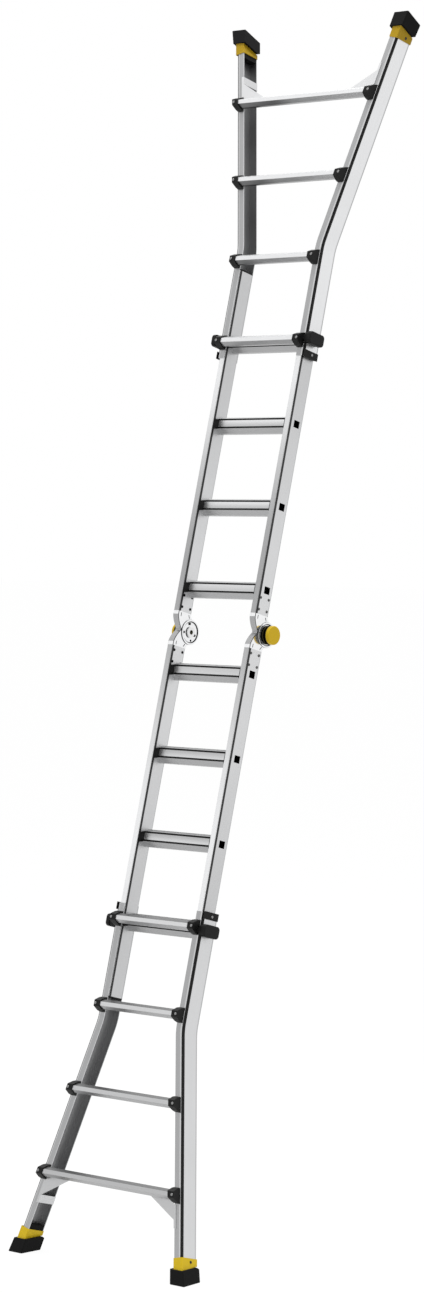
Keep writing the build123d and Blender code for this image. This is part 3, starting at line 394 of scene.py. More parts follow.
@dataclass(frozen=True)
class Surface:
    """Where a point of a finish is on the upright ladder, and which way its face looks."""

    x: Wire
    v: Wire
    u: Wire
    face_x: Wire
    face_v: Wire
    face_u: Wire

    @classmethod
    def of(cls, graph: Graph) -> "Surface":
        """The surface that a graph paints."""
        return cls(*graph.upright("Object"), *graph.upright("Normal"))

    @property
    def across(self) -> Wire:
        """Distance from the middle of the ladder, with the flare of the stiles taken out."""
        return abs(self.x) - (abs(self.u) - PATH.bend_u).at_least(0.0) * math.tan(PATH.flare)

    @property
    def height(self) -> Wire:
        """Share of a tone that belongs high on the ladder."""
        return self.u.ramp(*ENDS_U)

    @property
    def inward(self) -> Wire:
        """Share by which a face looks to the middle of the ladder."""
        return (-(self.face_x * self.x.sum("SIGN", self.x))).ramp(*FACING_MIDDLE)

    @property
    def forward(self) -> Wire:
        """Share by which a face looks to the climber."""
        return (-self.face_v).ramp(*FACING_FRONT)

    @property
    def rearward(self) -> Wire:
        """Share by which a face looks to the wall."""
        return self.face_v.ramp(*FACING_REAR)

    @property
    def upward(self) -> Wire:
        """Share by which a face looks up."""
        return self.face_u.ramp(*FACING_UP)

    @property
    def downward(self) -> Wire:
        """Share by which a face looks down."""
        return (-self.face_u).ramp(*FACING_UP)

    @property
    def place(self) -> bpy.types.NodeSocket:
        """Place on the ladder as one vector, for patterns that run no one way."""
        return self.x.graph.vector(self.x, self.v, self.u)


def blend(first: Number, second: Number, share: Number) -> Number:
    """Value between two others, by the share of the second."""
    return share * (second - first) + first


def squares(radii: Pair) -> Pair:
    """Squares of two radii."""
    return (radii[0] ** 2, radii[1] ** 2)


@dataclass(frozen=True)
class Aluminium(Finish):
    """Drawn or pressed aluminium with fine lines along its grain; each kind paints its own light and shade
    into its tones.
    """

    grain: Grain = Grain.STILE
    metallic: float = 0.85
    roughness: float = 0.36
    polish: float = 0.36
    gloss_change: float = 0.06
    line_scale: float = 900.0
    line_detail: float = 2.0
    line_depth: float = 0.00002
    cloud_scale: float = 9.0
    cloud_detail: float = 3.0
    cloud_share: float = 0.5
    contrast: float = 0.12
    stretch: float = 0.004
    tint: Colour = (0.985, 0.99, 1.0, 1.0)

    def tone(self, surface: Surface) -> Number:
        """How bright the metal is, from 0 to 1, with painted light and shade in it."""
        raise NotImplementedError

    def paint(self, graph: Graph, shader: bpy.types.Node) -> None:
        """Lines along the grain, in the colour, the gloss and the surface itself.

        Args:
            graph: the finish's nodes.
            shader: the shader that is painted.
        """
        surface = Surface.of(graph)
        across, along = surface.x, surface.u
        if self.grain is Grain.STILE:
            across, along = surface.across, surface.u * self.stretch
        elif self.grain is Grain.RUNG:
            across = surface.x * self.stretch
        streak = graph.noise(graph.vector(across, surface.v, along), self.line_scale, self.line_detail)
        cloud = graph.noise(surface.place, self.cloud_scale, self.cloud_detail)
        change = (streak - NOISE_MEAN) + (cloud - NOISE_MEAN) * self.cloud_share
        # The tone holds painted light and shade; the streaks and clouds vary it at random.
        tone = (change * self.contrast + 1.0) * self.tone(surface)
        gloss = blend(self.polish, self.roughness, surface.forward)
        sockets = {
            "Base Color": graph.mix(tone, grey(0.0), self.tint),
            "Roughness": (streak - NOISE_MEAN) * self.gloss_change + gloss,
            "Metallic": self.metallic,
            "Normal": graph.bump(streak, self.line_depth),
        }
        graph.feed(shader, sockets)


@dataclass(frozen=True)
class OuterStileMetal(Aluminium):
    """Channel with painted light and shade: bright sides, grey fronts, a painted highlight along the flange
    edge, and painted shade at the rear edge and inside the channel.

    Tones in pairs are low and high on the ladder.
    """

    sides: Pair = (0.70, 0.85)
    side_u: Pair = (-1.2, 1.2)
    front: float = 0.43
    front_edge: float = 0.62
    front_edge_x: Pair = (0.1780, 0.1795)
    rear: float = 0.50
    rear_v: Pair = (0.0585, 0.0605)
    inside_shades: Pair = (0.33, 0.24)
    web_x: Pair = (0.170, 0.174)
    flange_v: Pair = (0.050, 0.058)

    def tone(self, surface: Surface) -> Number:
        """Side, front with its painted highlight at the edge, rear edge with painted shade, and inside of
        the channel with painted shade.

        Args:
            surface: the point of the surface.

        Returns:
            How bright the metal is there.
        """
        # Painted light: the sides brighten up the stile and the front brightens towards the flange edge.
        # Painted shade: the rear edge and the channel's inside.
        side = blend(*self.sides, surface.u.ramp(*self.side_u))
        side = blend(side, self.rear, surface.v.ramp(*self.rear_v))
        front = blend(self.front, self.front_edge, surface.across.ramp(*self.front_edge_x))
        tone = blend(blend(side, front, surface.forward), self.rear, surface.rearward)
        web = surface.inward * surface.across.ramp(*self.web_x)
        flange = surface.forward * surface.v.ramp(*self.flange_v)
        return blend(tone, blend(*self.inside_shades, surface.height), web.at_least(flange))


@dataclass(frozen=True)
class InnerStileMetal(Aluminium):
    """Tube with painted light and shade: its inside is painted dark as shade.

    Tones in pairs are near the hinge and away from it.
    """

    sides: Pair = (0.72, 0.61)
    side_u: Pair = (0.15, 0.95)
    fronts: Pair = (0.42, 0.89)
    upper_front_u: Pair = (0.25, 0.95)
    lower_front_u: Pair = (-0.15, 0.70)
    rear: float = 0.47
    rear_v: Pair = (0.0588, 0.0600)
    line: float = 0.04
    line_v: Pair = (0.0096, 0.0106)
    line_facing: Pair = (0.35, 0.55)
    inside: float = 0.004
    inside_x: tuple[Pair, Pair] = ((0.1582, 0.1590), (0.1785, 0.1793))
    inside_v: tuple[Pair, Pair] = ((0.0008, 0.0015), (0.0616, 0.0622))

    def tone(self, surface: Surface) -> Number:
        """Side and front with painted light along the stile, rear edge and inside of the tube with painted
        shade, and painted shade on the sides of its front corners.

        Args:
            surface: the point of the surface.

        Returns:
            How bright the metal is there.
        """
        # Painted light: side and front tones change along the stile. Painted shade: the rear edge, the sides
        # of the front corners and the tube's inside.
        side = blend(*self.sides, abs(surface.u).ramp(*self.side_u))
        side = blend(side, self.rear, surface.v.ramp(*self.rear_v))
        upper = surface.u.ramp(*self.upper_front_u)
        lower = (-surface.u).ramp(*self.lower_front_u)
        front = blend(*self.fronts, upper.at_least(lower))
        tone = blend(blend(side, front, surface.forward), self.rear, surface.rearward)
        corner = abs(surface.face_x).ramp(*self.line_facing) * (1.0 - surface.v.ramp(*self.line_v))
        inside = surface.across.between(*self.inside_x) * surface.v.between(*self.inside_v)
        return blend(blend(tone, self.line, corner), self.inside, inside)


@dataclass(frozen=True)
class OuterRungMetal(Aluminium):
    """Wedge rung with painted light and shade: a bright nose, a greyer facet below it and a tread painted
    darker low down.

    Tones in pairs are low and high on the ladder, and for the facet plain and in painted shade.
    """

    noses: Pair = (0.52, 0.72)
    nose_u: Pair = (-1.9, -1.0)
    upper_gain: float = 0.12
    upper_u: Pair = (0.0, 1.0)
    facets: Pair = (0.46, 0.17)
    dark_facet_x: Pair = (0.02, 0.13)
    dark_facet_u: Pair = (0.85, 1.2)
    treads: Pair = (0.22, 0.62)
    tread_u: Pair = (-0.4, 0.4)

    def tone(self, surface: Surface) -> Number:
        """Nose, lower facet, which has painted shade on the left of the upper half, and top.

        Args:
            surface: the point of the surface.

        Returns:
            How bright the metal is there.
        """
        # Painted light and shade: the nose brightens up the ladder, the facet is darker on the upper left
        # and the top is darker low down.
        gain = surface.u.ramp(*self.upper_u) * self.upper_gain
        nose = blend(*self.noses, surface.u.ramp(*self.nose_u)) + gain
        dark = (-surface.x).ramp(*self.dark_facet_x) * surface.u.ramp(*self.dark_facet_u)
        tone = blend(nose, blend(*self.facets, dark), surface.downward)
        return blend(tone, blend(*self.treads, surface.u.ramp(*self.tread_u)), surface.upward)


@dataclass(frozen=True)
class InnerRungMetal(Aluminium):
    """Rung with a band between two grooves, with light and shade painted up its height and on its facet and
    tread.

    Tones in pairs are low and high on the ladder.
    """

    pitch: float = 0.280
    band_bottoms: Pair = (0.72, 0.56)
    band_tops: Pair = (0.50, 0.84)
    band_u: Pair = (-0.6, 0.6)
    band_height: Pair = (-0.007, 0.0145)
    facet: float = 0.46
    tread: float = 0.34

    def tone(self, surface: Surface) -> Number:
        """Band, lower facet and tread, toned by painted light and shade.

        Args:
            surface: the point of the surface.

        Returns:
            How bright the metal is there.
        """
        height = surface.u.sum("FLOORED_MODULO", surface.u, self.pitch) - self.pitch / 2
        upper = surface.u.ramp(*self.band_u)
        bottom, top = blend(*self.band_bottoms, upper), blend(*self.band_tops, upper)
        band = blend(bottom, top, height.ramp(*self.band_height))
        return blend(blend(band, self.facet, surface.downward), self.tread, surface.upward)


@dataclass(frozen=True)
class PressedMetal(Aluminium):
    """Pressed sheet, painted bright on its sides and darker on its front, as light and shade."""

    side: float = 0.93
    front: float = 0.43

    def tone(self, surface: Surface) -> Number:
        """Side and front, toned by painted light and shade."""
        return blend(self.side, self.front, surface.forward)


@dataclass(frozen=True)
class BraceMetal(Aluminium):
    """Sheet brace with painted light: its front has one tone low and another high on the ladder, and its
    side another.
    """

    side: float = 0.66
    fronts: Pair = (0.57, 0.76)

    def tone(self, surface: Surface) -> Number:
        """Side, and front from the lower to the upper end, toned by painted light."""
        return blend(self.side, blend(*self.fronts, surface.height), surface.forward)


@dataclass(frozen=True)
class HingeMetal(PressedMetal):
    """Polished arm with its disc, with painted shade in the holes, down the rims, round the corner of its
    recess and along its front edge.
    """

    facing: Pair = (0.5, 0.85)
    rim: float = 0.04
    rim_radius: Pair = (0.043, 0.04406)
    hollow: float = 0.03
    hollow_x: tuple[Pair, Pair] = ((0.1583, 0.1590), (0.1786, 0.1792))
    corner_radius: tuple[Pair, Pair] = ((0.0325, 0.0335), (0.0361, 0.0364))
    line: float = 0.06
    line_v: Pair = (0.0030, 0.0042)
    shoulder_u: float = 0.046
    curve_length: float = 0.040
    curve_ease: float = 0.05
    curve_bend: float = 0.016
    curve_slope: float = 0.008

    def front_edge(self, surface: Surface) -> Number:
        """How far back the arm's front lies: a curve from the shoulder to the notch at the hinge.

        Args:
            surface: the point of the surface.

        Returns:
            The front's distance behind the stile front.
        """
        share = ((self.shoulder_u - abs(surface.u)) * (1 / self.curve_length)).at_least(0.0)
        share = share - share * share * self.curve_ease
        return share * (share * self.curve_bend + self.curve_slope)

    def tone(self, surface: Surface) -> Number:
        """Side with its painted shade line, holes and the corner of its recess painted dark as shade, front
        wall, and rims painted dark as shade.

        Args:
            surface: the point of the surface.

        Returns:
            How bright the metal is there.
        """
        # Painted shade: a line along the front edge, the holes, a ring at the corner of the recess and the
        # rim walls.
        flat = abs(surface.face_x).ramp(*self.facing)
        edge = 1.0 - (surface.v - self.front_edge(surface)).ramp(*self.line_v)
        behind = surface.v - LEAN.pivot_v
        squared = behind * behind + surface.u * surface.u
        corner = squared.between(*map(squares, self.corner_radius))
        hollow = abs(surface.x).between(*self.hollow_x).at_least(corner)
        side = blend(blend(self.side, self.line, edge), self.hollow, hollow)
        wall = blend(self.rim, self.front, squared.ramp(*squares(self.rim_radius)))
        return blend(wall, side, flat)


@dataclass(frozen=True)
class Moulding(Finish):
    """Moulded plastic or rubber, with a fine grain and faint scuffs.

    It may have another colour at the ladder's upper end, and painted shade nearer the middle, dark olive,
    that the polished arms also show as a dark reflection.
    """

    colour: Colour = grey(0.008)
    upper: Colour | None = None
    # Colour of the painted shade nearer the middle.
    shaded_core: Colour = (0.045, 0.040, 0.012, 1.0)
    shaded_core_x: float = 0.0
    shaded_core_edge: float = 0.001
    roughness: float = 0.5
    specular: float = 0.16
    grain_scale: float = 1800.0
    grain_detail: float = 2.0
    grain_gloss: float = 0.16
    grain_depth: float = 0.00005
    scuff: Colour = grey(0.024)
    scuff_scale: float = 45.0
    scuff_detail: float = 4.0
    scuff_patch: Pair = (0.52, 0.75)
    scuff_grain: Pair = (0.45, 0.62)
    scuff_share: float = 0.35
    scuff_gloss: float = 0.1

    def paint(self, graph: Graph, shader: bpy.types.Node) -> None:
        """Grain in the surface, and lighter scuffs in broad patches.

        Args:
            graph: the finish's nodes.
            shader: the shader that is painted.
        """
        surface = Surface.of(graph)
        place = surface.place
        grain = graph.noise(place, self.grain_scale, self.grain_detail)
        patch = graph.noise(place, self.scuff_scale, self.scuff_detail).ramp(*self.scuff_patch)
        mark = patch * grain.ramp(*self.scuff_grain)
        plain = graph.mix(surface.height, self.colour, self.upper or self.colour)
        colour = graph.mix(mark * self.scuff_share, plain, self.scuff)
        # Painted shade: nearer the middle the colour turns dark olive.
        if self.shaded_core_x:
            beyond = abs(surface.x).ramp(self.shaded_core_x - self.shaded_core_edge, self.shaded_core_x)
            colour = graph.mix(beyond, self.shaded_core, colour)
        gloss = (grain - NOISE_MEAN) * self.grain_gloss + mark * self.scuff_gloss
        sockets = {
            "Base Color": colour,
            "Roughness": gloss + self.roughness,
            "Specular IOR Level": self.specular,
            "Normal": graph.bump(grain, self.grain_depth),
        }
        graph.feed(shader, sockets)


@dataclass(frozen=True)
class Steel(Finish):
    """Plated steel with turning marks; beyond a distance from the middle it has another colour."""

    colour: Colour = grey(0.22)
    far_colour: Colour = grey(0.22)
    far_x: float = 1.0
    far_edge: float = 0.001
    roughness: float = 0.3
    marks: float = 0.4
    mark_scale: float = 600.0
    mark_detail: float = 3.0
    mark_span: Pair = (0.45, 0.8)
    mark_white: float = 0.25
    mark_gloss: float = 0.1

    def paint(self, graph: Graph, shader: bpy.types.Node) -> None:
        """Fine marks in the gloss and the colour.

        Args:
            graph: the finish's nodes.
            shader: the shader that is painted.
        """
        surface = Surface.of(graph)
        mark = graph.noise(surface.place, self.mark_scale, self.mark_detail)
        far = abs(surface.x).ramp(self.far_x - self.far_edge, self.far_x)
        colour = graph.mix(far, self.colour, self.far_colour)
        pale = graph.mix(self.mark_white, colour, grey(1.0))
        sockets = {
            "Base Color": graph.mix(mark.ramp(*self.mark_span) * self.marks, colour, pale),
            "Roughness": (mark - NOISE_MEAN) * self.mark_gloss + self.roughness,
            "Metallic": 1.0,
        }
        graph.feed(shader, sockets)


# Part of its normal along an axis that a face square to the axis has, at least.
SQUARE = 0.9

# Distance within which a point counts as at a place.
NEAR = 1e-5

# Selection modes of a mesh, for vertices, edges and faces.
PICK_EDGES = (False, True, False)
PICK_FACES = (False, False, True)

# Sides of the polygon that a round end starts from.
DISC_SIDES = 24


class Bench:
    """Where new pieces are modelled, one at a time, by operators on what is selected."""

    @staticmethod
    def block(name: str, low: Place, high: Place) -> bpy.types.Object:
        """Add a block to start a piece from.

        Args:
            name: the piece's name.
            low: its lowest corner.
            high: its highest corner.

        Returns:
            The block, with its place in its mesh.
        """
        bpy.ops.object.select_all(action="DESELECT")
        middle = [(a + b) / 2 for a, b in zip(low, high)]
        size = [b - a for a, b in zip(low, high)]
        bpy.ops.mesh.primitive_cube_add(size=1.0, location=middle, scale=size)
        return Bench._settle(name)

    @staticmethod
    def disc(name: str, radius: float, low: Place, thickness: float) -> bpy.types.Object:
        """Add a disc across the ladder to start a piece from.

        Args:
            name: the piece's name.
            radius: its radius.
            low: the middle of its face of lowest x.
            thickness: its thickness along x.

        Returns:
            The disc, with its place in its mesh.
        """
        bpy.ops.object.select_all(action="DESELECT")
        middle = (low[0] + thickness / 2, low[1], low[2])
        bpy.ops.mesh.primitive_cylinder_add(
            vertices=DISC_SIDES,
            radius=radius,
            depth=thickness,
            location=middle,
            rotation=(0, math.pi / 2, 0),
        )
        return Bench._settle(name)

    @staticmethod
    def _settle(name: str) -> bpy.types.Object:
        """Name the piece that was just added and put its place in its mesh.

        Args:
            name: the piece's name.

        Returns:
            The piece.
        """
        piece = bpy.context.active_object
        piece.name = piece.data.name = name
        bpy.ops.object.transform_apply(location=True, rotation=True, scale=True)
        return piece

    @staticmethod
    def pick_faces(piece: bpy.types.Object, test: Callable[[bpy.types.MeshPolygon], bool]) -> None:
        """Select the faces that pass a test, and enter edit mode on them."""
        Bench._pick(piece, piece.data.polygons, PICK_FACES, test)

    @staticmethod
    def pick_edges(piece: bpy.types.Object, test: Callable[[Vector, Vector], bool]) -> None:
        """Select the edges whose ends pass a test, and enter edit mode on them.

        Args:
            piece: the piece.
            test: says which are selected.
        """
        spots = piece.data.vertices

        def edge_test(edge: bpy.types.MeshEdge) -> bool:
            """Test of one edge by its two ends."""
            return test(spots[edge.vertices[0]].co, spots[edge.vertices[1]].co)

        Bench._pick(piece, piece.data.edges, PICK_EDGES, edge_test)

    @staticmethod
    def _pick(
        piece: bpy.types.Object, items: Sequence, mode: tuple[bool, bool, bool], test: Callable
    ) -> None:
        """Select items of a mesh in code.

        Args:
            piece: the piece.
            items: its faces or edges.
            mode: the selection mode for them.
            test: says which are selected.
        """
        mesh = piece.data
        bpy.context.view_layer.objects.active = piece
        for group in (mesh.vertices, mesh.edges, mesh.polygons):
            group.foreach_set("select", [False] * len(group))
        for item in items:
            item.select = test(item)
        bpy.context.tool_settings.mesh_select_mode = mode
        bpy.ops.object.mode_set(mode="EDIT")

    @staticmethod
    def done() -> None:
        """Leave edit mode."""
        bpy.ops.object.mode_set(mode="OBJECT")

    @staticmethod
    def copy(piece: bpy.types.Object, name: str, change: Matrix) -> bpy.types.Object:
        """Copy a piece to another place.

        Args:
            piece: what is copied.
            name: the copy's name.
            change: where the copy goes, from the piece; a mirror image keeps its faces outward.

        Returns:
            The copy, with its own mesh.
        """
        mesh = piece.data.copy()
        mesh.transform(change)
        if change.determinant() < 0:
            mesh.flip_normals()
        mesh.name = name
        twin = bpy.data.objects.new(name, mesh)
        bpy.context.scene.collection.objects.link(twin)
        return twin

    @staticmethod
    def join(name: str, pieces: Sequence[bpy.types.Object]) -> bpy.types.Object:
        """Join pieces into one.

        Args:
            name: the joined piece's name.
            pieces: what is joined.

        Returns:
            The joined piece.
        """
        bpy.ops.object.select_all(action="DESELECT")
        for piece in pieces:
            piece.select_set(True)
        bpy.context.view_layer.objects.active = pieces[0]
        bpy.ops.object.join()
        pieces[0].name = pieces[0].data.name = name
        return pieces[0]

    @staticmethod
    def fit(piece: bpy.types.Object, material: bpy.types.Material, body: str, slot: str) -> None:
        """Lean a finished piece into place and give it its finish and body.

        Args:
            piece: the piece, modelled on the upright ladder.
            material: its finish.
            body: the body that it rides on.
            slot: not used.
        """
        piece.data.transform(LEAN.matrix)
        piece.data.materials.clear()
        piece.data.materials.append(material)
        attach(piece, body)
        LOG.info("%s rides on %s", piece.name, body)


@dataclass
class InnerSection:
    """Straight inner half: two tubes and the rungs between them."""

    half: Half
    finishes: Mapping[str, bpy.types.Material]
    half_width: float = 0.180
    stile_width: float = 0.0225
    start_u: float = 0.058
    end_u: float = 1.230
    rebate: float = 0.003
    line_play: float = 0.0002
    line_bevel: float = 0.4
    line_bevel_steps: int = 2
    rung_front_v: float = 0.025
    rung_pitch: float = 0.280
    rungs: int = 4
    groove_height: float = 0.006
    groove_depth: float = 0.004
    groove_middles: Pair = (-0.010, 0.0175)
    strip_setback: float = 0.0006
    strip_play: float = 0.0001
    strip_rim: float = 1 / 3
    strip_dish: float = 0.0006

    def build(self) -> None:
        """Model the corner bars of the stiles and the dark strips in the grooves of the rungs."""
        body = f"{self.half.label}_inner"
        for line in self.corner_lines():
            Bench.fit(line, self.finishes["inner_stile"], body, "aluminium")
        for strip in self.grip_strips():
            Bench.fit(strip, self.finishes["black"], body, "black_plastic")

    def corner_lines(self) -> list[bpy.types.Object]:
        """Bars in the rebates of the stiles' front corners; the inner stile finish paints their sides dark
        as shade.

        Returns:
            One piece for each stile, with a bar on each side.
        """
        size = self.rebate - self.line_play
        outer_x = self.half_width - self.line_play
        low = (outer_x - size, self.line_play, self.start_u + self.line_play)
        high = (outer_x, size, self.end_u)
        bar = Bench.block("bar", low, high)
        Bench.pick_edges(
            bar, lambda a, b: min(a.x, b.x) > outer_x - NEAR and max(a.y, b.y) < low[1] + NEAR
        )
        bpy.ops.mesh.bevel(offset=self.line_bevel * size, segments=self.line_bevel_steps, affect="EDGES")
        Bench.done()
        shift = Matrix.Translation((2 * self.half_width - self.stile_width, 0, 0))
        inner = Bench.copy(bar, "inner bar", shift @ Matrix.Diagonal((-1, 1, 1, 1)))
        pair = Bench.join("bars", [bar, inner])
        made = []
        for side in Side:
            change = Matrix.Diagonal((side.value, 1, self.half.value, 1))
            made.append(Bench.copy(pair, f"{self.half.label}_inner_{side.label}_corner_lines", change))
        bpy.data.objects.remove(pair)
        return made

    def grip_strips(self) -> list[bpy.types.Object]:
        """Dark strips in the two grooves of each rung.

        Returns:
            One piece for each rung.
        """
        reach = self.half_width - self.stile_width - 2 * self.strip_play
        half_height = self.groove_height / 2 - self.strip_play
        front = self.rung_front_v + self.strip_setback
        back = self.rung_front_v + self.groove_depth - self.strip_play
        strips = []
        for middle in self.groove_middles:
            strip = Bench.block(
                "strip", (-reach, front, middle - half_height), (reach, back, middle + half_height)
            )
            Bench.pick_faces(strip, lambda face: face.normal.y < -SQUARE)
            bpy.ops.mesh.inset(thickness=self.strip_rim * half_height)
            bpy.ops.transform.translate(value=(0, self.strip_dish, 0))
            Bench.done()
            strips.append(strip)
        pair = Bench.join("strips", strips)
        made = []
        for number in range(self.rungs):
            height = self.half.value * self.rung_pitch * (number + 0.5)
            name = f"{self.half.label}_inner_rung_{number + 1}_grip_strips"
            made.append(Bench.copy(pair, name, Matrix.Translation((0, 0, height))))
        bpy.data.objects.remove(pair)
        return made


@dataclass
class OuterSection:
    """Flared outer half, whose stiles have a recess down their front corner, lined with a dark strip as
    painted shade.
    """

    half: Half
    finishes: Mapping[str, bpy.types.Material]
    flange_x: float = 0.183
    web_x: float = 0.1908
    front_v: float = -0.0033
    recess_v: float = 0.0047
    lining: float = 0.0008
    edge: float = 0.0014
    bend_steps: int = 10
    weld: float = 1e-6

    def build(self) -> None:
        """Model the dark linings of the recesses, which are painted shade."""
        body = f"{self.half.label}_outer"
        lining = self.recess_lining()
        for side in Side:
            change = Matrix.Diagonal((side.value, 1, self.half.value, 1))
            name = f"{self.half.label}_outer_{side.label}_recess_lining"
            Bench.fit(Bench.copy(lining, name, change), self.finishes["recess_shade"], body, "black_plastic")
        bpy.data.objects.remove(lining)

    def recess_lining(self) -> bpy.types.Object:
        """Dark angle strip, painted shade of the recess, that follows the stile round its bend.

        Returns:
            The strip of the upper right stile.
        """
        arc_start = PATH.bend_u - PATH.tangent
        wall_x = self.flange_x + self.lining
        strip = Bench.block(
            "lining",
            (self.flange_x, self.recess_v - self.lining, PATH.start_u),
            (self.web_x, self.recess_v, arc_start),
        )
        Bench.pick_faces(strip, lambda face: True)
        bpy.ops.mesh.bisect(plane_co=(wall_x, 0, 0), plane_no=(1, 0, 0))
        Bench.done()
        Bench.pick_faces(strip, lambda face: face.normal.y < -SQUARE and face.center.x < wall_x)
        rise = self.front_v + self.edge - (self.recess_v - self.lining)
        bpy.ops.mesh.extrude_region_move(TRANSFORM_OT_translate={"value": (0, rise, 0)})
        Bench.done()
        Bench.pick_faces(strip, lambda face: face.normal.z > SQUARE)
        bpy.ops.mesh.spin(
            steps=self.bend_steps,
            angle=-PATH.flare,
            center=(PATH.middle_x + PATH.bend_radius, 0, arc_start),
            axis=(0, 1, 0),
        )
        arc_end = PATH.bend_u + PATH.tangent * math.cos(PATH.flare)
        run = (PATH.collar_u - arc_end) / math.cos(PATH.flare)
        ahead = (run * math.sin(PATH.flare), 0, run * math.cos(PATH.flare))
        bpy.ops.mesh.extrude_region_move(TRANSFORM_OT_translate={"value": ahead})
        bpy.ops.mesh.select_all(action="SELECT")
        bpy.ops.mesh.remove_doubles(threshold=self.weld)
        bpy.ops.mesh.normals_make_consistent(inside=False)
        Bench.done()
        return strip


@dataclass
class HingePair:
    """The two hinges: bright lips over the shoulders of their arms, dark ends of rivets, and dark discs that
    stand for the shade in the holes of the inner discs.
    """

    finishes: Mapping[str, bpy.types.Material]
    half_width: float = 0.180
    arm_width: float = 0.0225
    shoulder_u: Pair = (0.0462, 0.0578)
    lip: float = 0.0005
    lip_rim: float = 0.0010
    lip_crown: float = 0.0001
    rivet_v: Pair = (0.0127, 0.0525)
    rivet_u: Pair = (0.073, 0.112)
    rivet_radius: float = 0.0048
    rivet_end: float = 0.0006
    # Places, size and height of the dark discs that stand for the shade in the disc's holes.
    hole_shades: tuple[Pair, ...] = ((-0.0096, 0.0263), (-0.0311, -0.0060), (0.0226, -0.0059))
    hole_shade_radius: float = 0.0041
    pin_end: float = 0.0026
    end_rim: float = 1 / 4
    end_dish: float = 0.0003

    def build(self) -> None:
        """Model the lips and the rivet ends of the four arms, and the dark discs that stand for the shade in
        the holes of the inner discs.
        """
        lip = self.arm_lip()
        ends = self.rivet_ends()
        hole_shades = self.pin_ends()
        for half in Half:
            body = f"{half.label}_inner"
            for side in Side:
                change = Matrix.Diagonal((side.value, 1, half.value, 1))
                arm = f"{half.label}_{side.label}"
                piece = Bench.copy(lip, f"{arm}_arm_lip", change)
                Bench.fit(piece, self.finishes["lip"], body, "bright_aluminium")
                piece = Bench.copy(ends, f"{arm}_rivet_ends", change)
                Bench.fit(piece, self.finishes["rivet_end"], body, "steel")
        for side in Side:
            change = Matrix.Diagonal((side.value, 1, 1, 1))
            piece = Bench.copy(hole_shades, f"upper_{side.label}_pin_ends", change)
            Bench.fit(piece, self.finishes["rivet_end"], "upper_inner", "steel")
        for model in (lip, ends, hole_shades):
            bpy.data.objects.remove(model)

    def arm_lip(self) -> bpy.types.Object:
        """Bright lip with a raised middle.

        Returns:
            The lip of the upper right arm.
        """
        low = (self.half_width - self.arm_width, -self.lip, self.shoulder_u[0])
        lip = Bench.block("lip", low, (self.half_width, 0.0, self.shoulder_u[1]))
        Bench.pick_faces(lip, lambda face: face.normal.y < -SQUARE)
        bpy.ops.mesh.inset(thickness=self.lip_rim)
        bpy.ops.transform.translate(value=(0, -self.lip_crown, 0))
        Bench.done()
        return lip

    def rivet_ends(self) -> bpy.types.Object:
        """Ends of the four rivets of an arm.

        Returns:
            The ends on the inside of the upper right stile.
        """
        places = [(v, u) for v in self.rivet_v for u in self.rivet_u]
        ends = [self.upset_end(self.rivet_radius, self.rivet_end, *place) for place in places]
        return Bench.join("ends", ends)

    def pin_ends(self) -> bpy.types.Object:
        """Dark discs in the holes of the recess of an inner disc, painted shade of the holes.

        Returns:
            The ends on the right hinge.
        """
        places = [(LEAN.pivot_v + v, u) for v, u in self.hole_shades]
        ends = [self.upset_end(self.hole_shade_radius, self.pin_end, *place) for place in places]
        return Bench.join("hole_shades", ends)

    def upset_end(self, radius: float, length: float, v: float, u: float) -> bpy.types.Object:
        """Upset end of a rivet, also used as a dark disc for a hole's shade, dished in its middle.

        Args:
            radius: its radius.
            length: how far it stands out.
            v: its place behind the stile front.
            u: its place above the hinge.

        Returns:
            The end, on the inside of the right stile or disc.
        """
        low = (self.half_width - self.arm_width - length, v, u)
        end = Bench.disc("end", radius, low, length)
        Bench.pick_faces(end, lambda face: face.normal.x < -SQUARE)
        for _ring in range(2):
            bpy.ops.mesh.inset(thickness=self.end_rim * radius)
        bpy.ops.transform.translate(value=(self.end_dish, 0, 0))
        Bench.done()
        return end


@dataclass
class Dressing:
    """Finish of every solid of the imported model."""

    finishes: Mapping[str, bpy.types.Material]

    def finish_of(self, node: str, slot: str) -> bpy.types.Material:
        """Choose a finish.

        Args:
            node: name of the solid.
            slot: its slot in the record.

        Returns:
            The material.
        """
        words = set(node.split("_"))
        if slot == "aluminium":
            kind = "rung" if "rung" in words else "stile"
            return self.finishes[f"inner_{kind}" if "inner" in words else f"outer_{kind}"]
        if slot == "bright_aluminium":
            return self.finishes["brace" if "braces" in words else "arm"]
        if slot == "yellow_plastic":
            return self.finishes["knob" if "knob" in words else "yellow"]
        if slot == "steel":
            return self.finishes["dark_rivet" if "hinge" in words else "rivet"]
        return self.finishes[SLOT_FINISH[slot]]

    def build(self) -> None:
        """Give each solid its material."""
        for row in frame["record"]["subparts"]:
            solid = frame["nodes"][row["node"]]
            solid.data.materials.clear()
            solid.data.materials.append(self.finish_of(row["node"], row["material_slot"]))
            LOG.info("%s is finished", row["node"])


@dataclass(frozen=True)
class Lamp:
    """A soft box of the studio."""

    name: str
    place: Place
    target: Place
    size: Pair
    power: float

    def build(self) -> None:
        """Hang the lamp."""
        light = bpy.data.lights.new(self.name, "AREA")
        light.shape = "RECTANGLE"
        light.size, light.size_y = self.size
        light.energy = self.power
        lamp = bpy.data.objects.new(self.name, light)
        lamp.location = self.place
        aim = Vector(self.target) - Vector(self.place)
        lamp.rotation_euler = aim.to_track_quat("-Z", "Y").to_euler()
        bpy.context.scene.collection.objects.link(lamp)


